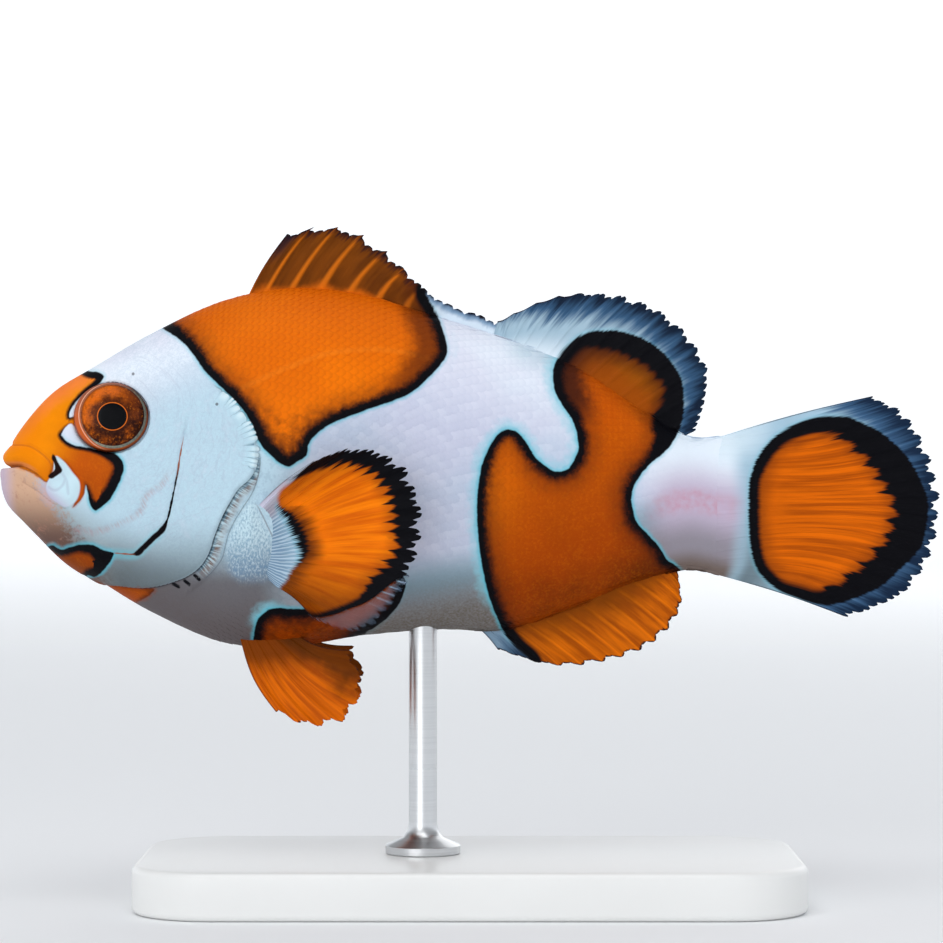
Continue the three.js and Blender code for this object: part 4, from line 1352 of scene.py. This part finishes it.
def dress_fin(name, base, membrane, ray, outer, reach, strands, streaks, ribbing, fingers, fuzz=0.3,
              margin=0.12, dark=0.0, blend=0.55, start=0.0, dusk=0.0, brown=0.0, stalk=0.0, pleats=0.0,
              whole=False, clear=0.0, tines=2):
    """The finish of one kind of fin: base, membrane and ray colours in its field, and three outside it.
    `reach` is how far the outer colours come in from the margin and `start` the rays that they take to grow,
    `strands` the streaks to a ray, `streaks` and `ribbing` how strongly they and the rays show, `fingers`
    how far the field's edge runs out along them, `blend` how far the base colour reaches, `brown` the first
    rays whose field is shaded along its edge."""
    d = Finish(name, Roughness=0.5, Specular_IOR_Level=SHEEN)
    d.take("ray out edge sides patch core keel")
    number, out, edge, core = d.ray, d.out, d.edge, d.core
    lines = 1 - abs((number * math.pi).sine())
    streak = d.streak = d.noise(d.vector(number * strands, out * 1.2, 0.0), 1.0, 2.0, 0.6) - 0.5
    thread = d.thread = d.noise(d.vector(number * 8, out * 3, 0.0), 1.0, 2.0) - 0.5
    cloud = d.cloud = d.noise(d.place(), 0.5 * GRAIN, 3.0) - 0.5
    d.rim = core - d.patch
    fringe = d.fringe = out.smooth(0.34, 0.24) * pleats
    inside = d.coats(
        membrane,
        ((streak.smooth(-0.16, 0.16) + thread * 0.8) * streaks, ray),
        ((lines - out * 0.3 + thread * 0.2).smooth(0.35, 0.85) * ribbing, ray),
        ((out + cloud * 0.3).smooth(blend, blend * 0.25), base),
        (((number + cloud * 2) * dusk - 3.4).smooth(0, 1.6) * 0.9, (88, 42, 2)),
        ((edge + thread * 2).smooth(dark * 2 + 0.01, 0.0), (44, 18, 20)))
    if dark:
        inside = d.mix(number.smooth(0.9, 0.3) * out.smooth(0.5, 0.85) * 0.8, inside, (24, 20, 34))
    colour = inside
    if not whole:
        # fin roots grey towards the keel: partly painted shade, like the body's belly
        root = d.mix(d.keel.smooth(7.5, 2.0), (228, 238, 247), (146, 146, 160))
        if stalk:
            root = stalk_white_and_shade(d, d.keel, cloud)
        outside = fin_outside(d, root, outer, reach, start, stalk, pleats)
        arc = out.smooth(0.7, 0.45) * pleats * (1 + number.smooth(4, 1.5))
        black = (d.patch + thread * (0.4 + fringe * 1.2) + arc * 0.08) / (fringe * 0.16 + 0.12)
        uneven = d.noise(d.vector(number * 1.3, 0.0, 0.0), 1.0, 2.0)
        halves = abs((number * (tines * math.pi) + 1.2).sine())
        teeth = (1 - halves.power(0.7)) * (0.3 + uneven * 1.4) + thread + streak * 0.5
        inner = core + teeth * fingers * d.rim.smooth(0.7 - pleats * 0.3, 1.7) + thread * 0.3 * fingers
        smear = (core + streak * 2.6).smooth(-1.7, 0.1) * out.smooth(0.6, 0.42) * pleats
        deep = (core + cloud).smooth(-4.2, -1.2) * number.smooth(brown + 2.5, brown - 2) if brown else 0.0
        field = d.coats(
            inside,
            ((core + cloud).smooth(-1.8, 0.2) * fuzz, (84, 32, 8)),
            (smear * number.smooth(2.5, 5.5) * 0.8, (66, 26, 6)),
            (number.smooth(8, 13.5) * pleats * 0.8, (116, 54, 2)),
            (deep * 0.95, (56, 26, 14)))
        colour = d.coats(
            outside,
            (black.smooth(1, -1), BLACK),
            ((inner - arc * 0.18).smooth(0.15, -0.15 - fuzz * 0.4), field))
    lead = number.smooth(1.0, 3.0) if start > 3 else 1.0
    d.drive("Base Color", d.coats(
        colour,
        ((edge + thread * margin * 2).smooth(margin * 1.6, margin * 0.5), (26, 16, 22)),
        (d.sides.smooth(0.14, 0.05) * 0.6 * out.smooth(0.1, 0.4) * lead, (30, 24, 30))))
    if clear:
        web = 1 - abs((number * (3 * math.pi)).sine()).smooth(0.9, 0.998) * number.smooth(12, 10) * 0.45
        d.drive("Alpha", 1 - clear * d.patch.smooth(-0.2, -0.04) * out.smooth(0.5, 0.7) * web)
    d.bump(lines.smooth(0.4, 0.9) * 0.5 + thread * 0.6, 0.08 * MM, 0.6)
    return d.material


BLUES = ((162, 188, 204), (56, 90, 124), (18, 32, 52))
spiny = dress_fin("clownfish_spiny_fin", (224, 106, 8), (96, 47, 2), (200, 104, 14),
                  ((212, 226, 238), (130, 158, 186), (40, 58, 84)), 0.62, 2.0, 0.15, 1.0, 0.1, 0.5, 0.2,
                  dark=0.5, blend=0.3)
soft = dress_fin("clownfish_soft_fin", (156, 72, 4), (146, 80, 2), (104, 56, 2), BLUES, 2.6, 2.2, 0.9, 0.1,
                 0.35, 0.9, start=4.0, brown=7.0)
anal = dress_fin("clownfish_anal_fin", (126, 60, 2), (164, 74, 2), (238, 120, 6),
                 ((124, 150, 172), (84, 112, 138), (40, 60, 84)), 2.0, 1.6, 0.6, 0.75, 0.2, margin=0.2,
                 start=1.5, blend=0.75)
tail = dress_fin("clownfish_tail_fin", (210, 96, 2), (174, 76, 2), (230, 106, 2),
                 ((164, 194, 212), (62, 96, 132), (22, 40, 64)), 3.4, 2.6, 1.0, 0.2, 0.9, 0.6, blend=0.4,
                 stalk=0.15, tines=1)
paddle = dress_fin("clownfish_pectoral_fin", (248, 122, 4), (216, 96, 2), (255, 132, 4),
                   ((150, 168, 186), (140, 160, 184), (60, 84, 112)), 0.8, 2.0, 0.9, 0.0, 0.9, 0.5,
                   pleats=1.0, clear=0.92)
pelvic = dress_fin("clownfish_pelvic_fin", (128, 58, 2), (186, 80, 2), (236, 114, 4), BLUES, 1.0, 3.2, 0.8,
                   0.1, 0.2, dusk=1.0, whole=True)
FIN_FINISH = {"dorsal_fin_front": spiny, "dorsal_fin_rear": soft, "anal_fin": anal, "tail_fin": tail,
              "pectoral_fin_left": paddle, "pectoral_fin_right": paddle, "pelvic_fin_left": pelvic,
              "pelvic_fin_right": pelvic}
for node, piece in fins.items():
    piece.data.materials.append(FIN_FINISH[node])

# %% [markdown]
# ## The finish of the eye, the lacquer and the steel
# The eye is black at the pupil, with a bright thread round it, a mottled iris and a dull outer ring,
# under a clear glossy coat. The stand stays quiet: satin lacquer with a faint unevenness, and steel with
# fine brush marks round the rod.

# %% Eye, base and rod
def dress_eye():
    """The rings of the eye under a wet coat, with painted light: the iris lighter at the top, painted shade
    at its upper back and a painted highlight ring at the cornea's edge.
    """
    d = Finish("clownfish_eye", Roughness=0.35, Coat_Weight=0.06, Coat_Roughness=0.03,
               Specular_IOR_Level=SHEEN)
    d.take("pupil iris rim north east")
    pupil, ring, north, east = d.pupil, d.iris, d.north, d.east
    place = d.place()
    grain = d.noise(place, 4.5 * GRAIN, 3.0, 0.7) - 0.5
    mottle = d.noise(place, 1.1 * GRAIN, 4.0, 0.6) - 0.5
    # painted light: the iris lighter at the top and towards the snout
    light = north * 0.55 - east * 0.35 + mottle * 2.2 + grain * 1.6
    # painted highlight: a grey-green ring at the cornea's edge, brighter at the back and bottom
    cornea_edge_light = ring.smooth(0.975, 0.99) * (0.3 + 0.7 * (east - north).smooth(-0.3, 0.5))
    outer = ring - 1.0 - 0.05 * (east - north * 0.7).smooth(-0.5, 0.5)
    wall = d.coats(
        (206, 96, 40),
        ((north + mottle).smooth(-0.4, 0.8), (150, 84, 58)),
        ((d.rim + grain * 0.1).smooth(2.98, 3.1), (150, 62, 24)))
    d.drive("Base Color", d.coats(
        (52, 20, 6),
        (light.smooth(-0.75, 0.75), (214, 100, 12)),
        ((pupil + mottle * 0.8).smooth(1.9, 1.15) * 0.85, (44, 16, 8)),
        # painted shade on the upper back of the iris
        ((east + north * 0.5 + mottle).smooth(0.4, 0.9) * 0.7, (44, 18, 16)),
        (ring.smooth(0.9, 0.97) * 0.6, (40, 20, 22)),
        (grain.smooth(0.1, 0.25) * 0.5, (240, 140, 30)),
        (cornea_edge_light, d.mix(grain * 2 + 0.5, (104, 104, 92), (168, 168, 150))),
        (outer.smooth(0.0, 0.015), wall),
        (abs(outer - 0.05).smooth(0.02, 0.008) * east.smooth(0.1, -0.5), (226, 168, 140)),
        (pupil.smooth(1.075, 1.05), (214, 104, 28)),
        (pupil.smooth(1.01, 0.985), (5, 6, 9))))
    d.bump(grain, 0.02 * MM, 0.3)
    return d.material


def dress_lacquer():
    """Satin lacquer, slightly uneven."""
    finish = Finish("satin_lacquer", Roughness=0.35, Coat_Weight=0.3, Coat_Roughness=0.25)
    place = finish.place()
    cloud = finish.noise(place, 60.0, 3.0)
    speck = finish.noise(place, 900.0, 2.0) - 0.5
    finish.drive("Base Color", finish.mix(cloud, (228, 228, 226), (238, 238, 236)))
    finish.drive("Roughness", 0.32 + cloud * 0.08 + speck * 0.06)
    finish.bump(speck, 0.01 * MM, 0.4)
    return finish.material


def dress_steel():
    """Steel brushed round the rod."""
    finish = Finish("brushed_steel", Metallic=1.0, Roughness=0.3)
    x, y, z = finish.parts(finish.place())
    brush = finish.noise(finish.vector(x * 60.0, y * 60.0, z * 6000.0), 1.0, 3.0) - 0.5
    finish.drive("Base Color", finish.mix(brush + 0.5, (188, 190, 192), (216, 217, 218)))
    finish.drive("Roughness", 0.3 + brush * 0.15)
    finish.bump(brush, 0.01 * MM, 0.3)
    return finish.material


eye_finish = dress_eye()
for piece in eyes:
    piece.data.materials.append(eye_finish)
base.data.materials.append(dress_lacquer())
rod.data.materials.append(dress_steel())

# %% [markdown]
# ## Floor, light and camera
# The model stands on a pale floor that sweeps up far away on every side, so no horizon shows. Broad
# lamps overhead and in front give soft light from above, and a long lens looks level at the fish's side.

# %% Floor, lamps and camera
FLOOR = {"flat": 1.4, "sweep": 0.5, "wall": 0.7}
VIEW_WIDTH = 80.25
LENS = 135.0
SENSOR = 36.0


def make_floor():
    """A turned floor: a disc whose rim curves up."""
    arc = [(FLOOR["flat"] + FLOOR["sweep"] * math.sin(a), FLOOR["sweep"] * (1 - math.cos(a)))
           for a in np.linspace(0, math.pi / 2, 13)]
    profile = [(0.0, 0.0)] + arc + [(FLOOR["flat"] + FLOOR["sweep"], FLOOR["wall"])]
    return turned("studio_floor", profile, (0, 0, 0), 72, 1e-5)


def make_lamp(name, place, size, power):
    """A square area lamp aimed at the fish."""
    light = bpy.data.lights.new(name, "AREA")
    light.size = size
    light.energy = power
    lamp = bpy.data.objects.new(name, light)
    lamp.location = place
    lamp.rotation_euler = (Vector((0, 0, MOUTH)) - Vector(place)).to_track_quat("-Z", "Y").to_euler()
    bpy.context.scene.collection.objects.link(lamp)
    return lamp


floor_mesh = make_floor()
floor = bpy.data.objects.new("studio_floor", floor_mesh)
bpy.context.scene.collection.objects.link(floor)
floor_finish = Finish("pale_floor", Roughness=0.8, Emission_Strength=0.5)
dust = floor_finish.noise(floor_finish.place(), 3.0, 2.0)
along, aside, rise = floor_finish.parts(floor_finish.place())
far = (along * along + aside * aside).power(0.5)
floor_finish.drive("Base Color", floor_finish.mix(dust, (238, 239, 241), (244, 245, 246)))
share = far.smooth(0.1, 1.3).most(rise.smooth(0.0, 0.3))
floor_finish.drive("Emission Color", floor_finish.mix(share, (0, 0, 0), (240, 243, 246)))
floor_mesh.materials.append(floor_finish.material)
make_lamp("lamp_over", (-0.1, -0.35, 0.85), 0.7, 2.8)
make_lamp("lamp_front", (-0.35, -0.8, 0.25), 0.6, 1.9)
make_lamp("lamp_back", (0.4, 0.7, 0.5), 0.6, 1.2)
world = bpy.data.worlds.new("studio_air")
world.use_nodes = True
world.node_tree.nodes["Background"].inputs["Color"].default_value = paint(236, 240, 245)
world.node_tree.nodes["Background"].inputs["Strength"].default_value = 0.5
bpy.context.scene.world = world

camera_data = bpy.data.cameras.new("camera")
camera_data.lens = LENS
camera_data.sensor_width = SENSOR
camera_data.clip_start = 0.01
camera = bpy.data.objects.new("camera", camera_data)
bpy.context.scene.collection.objects.link(camera)
middle = SNOUT + (0.5 * VIEW_WIDTH) * MM
camera.location = (middle, -VIEW_WIDTH * MM * LENS / SENSOR, MOUTH)
camera.rotation_euler = (math.pi / 2, 0, 0)
bpy.context.scene.camera = camera
bpy.context.scene.view_settings.view_transform = "Standard"
print(f"camera {-camera.location.y * 1000:.0f} mm away")
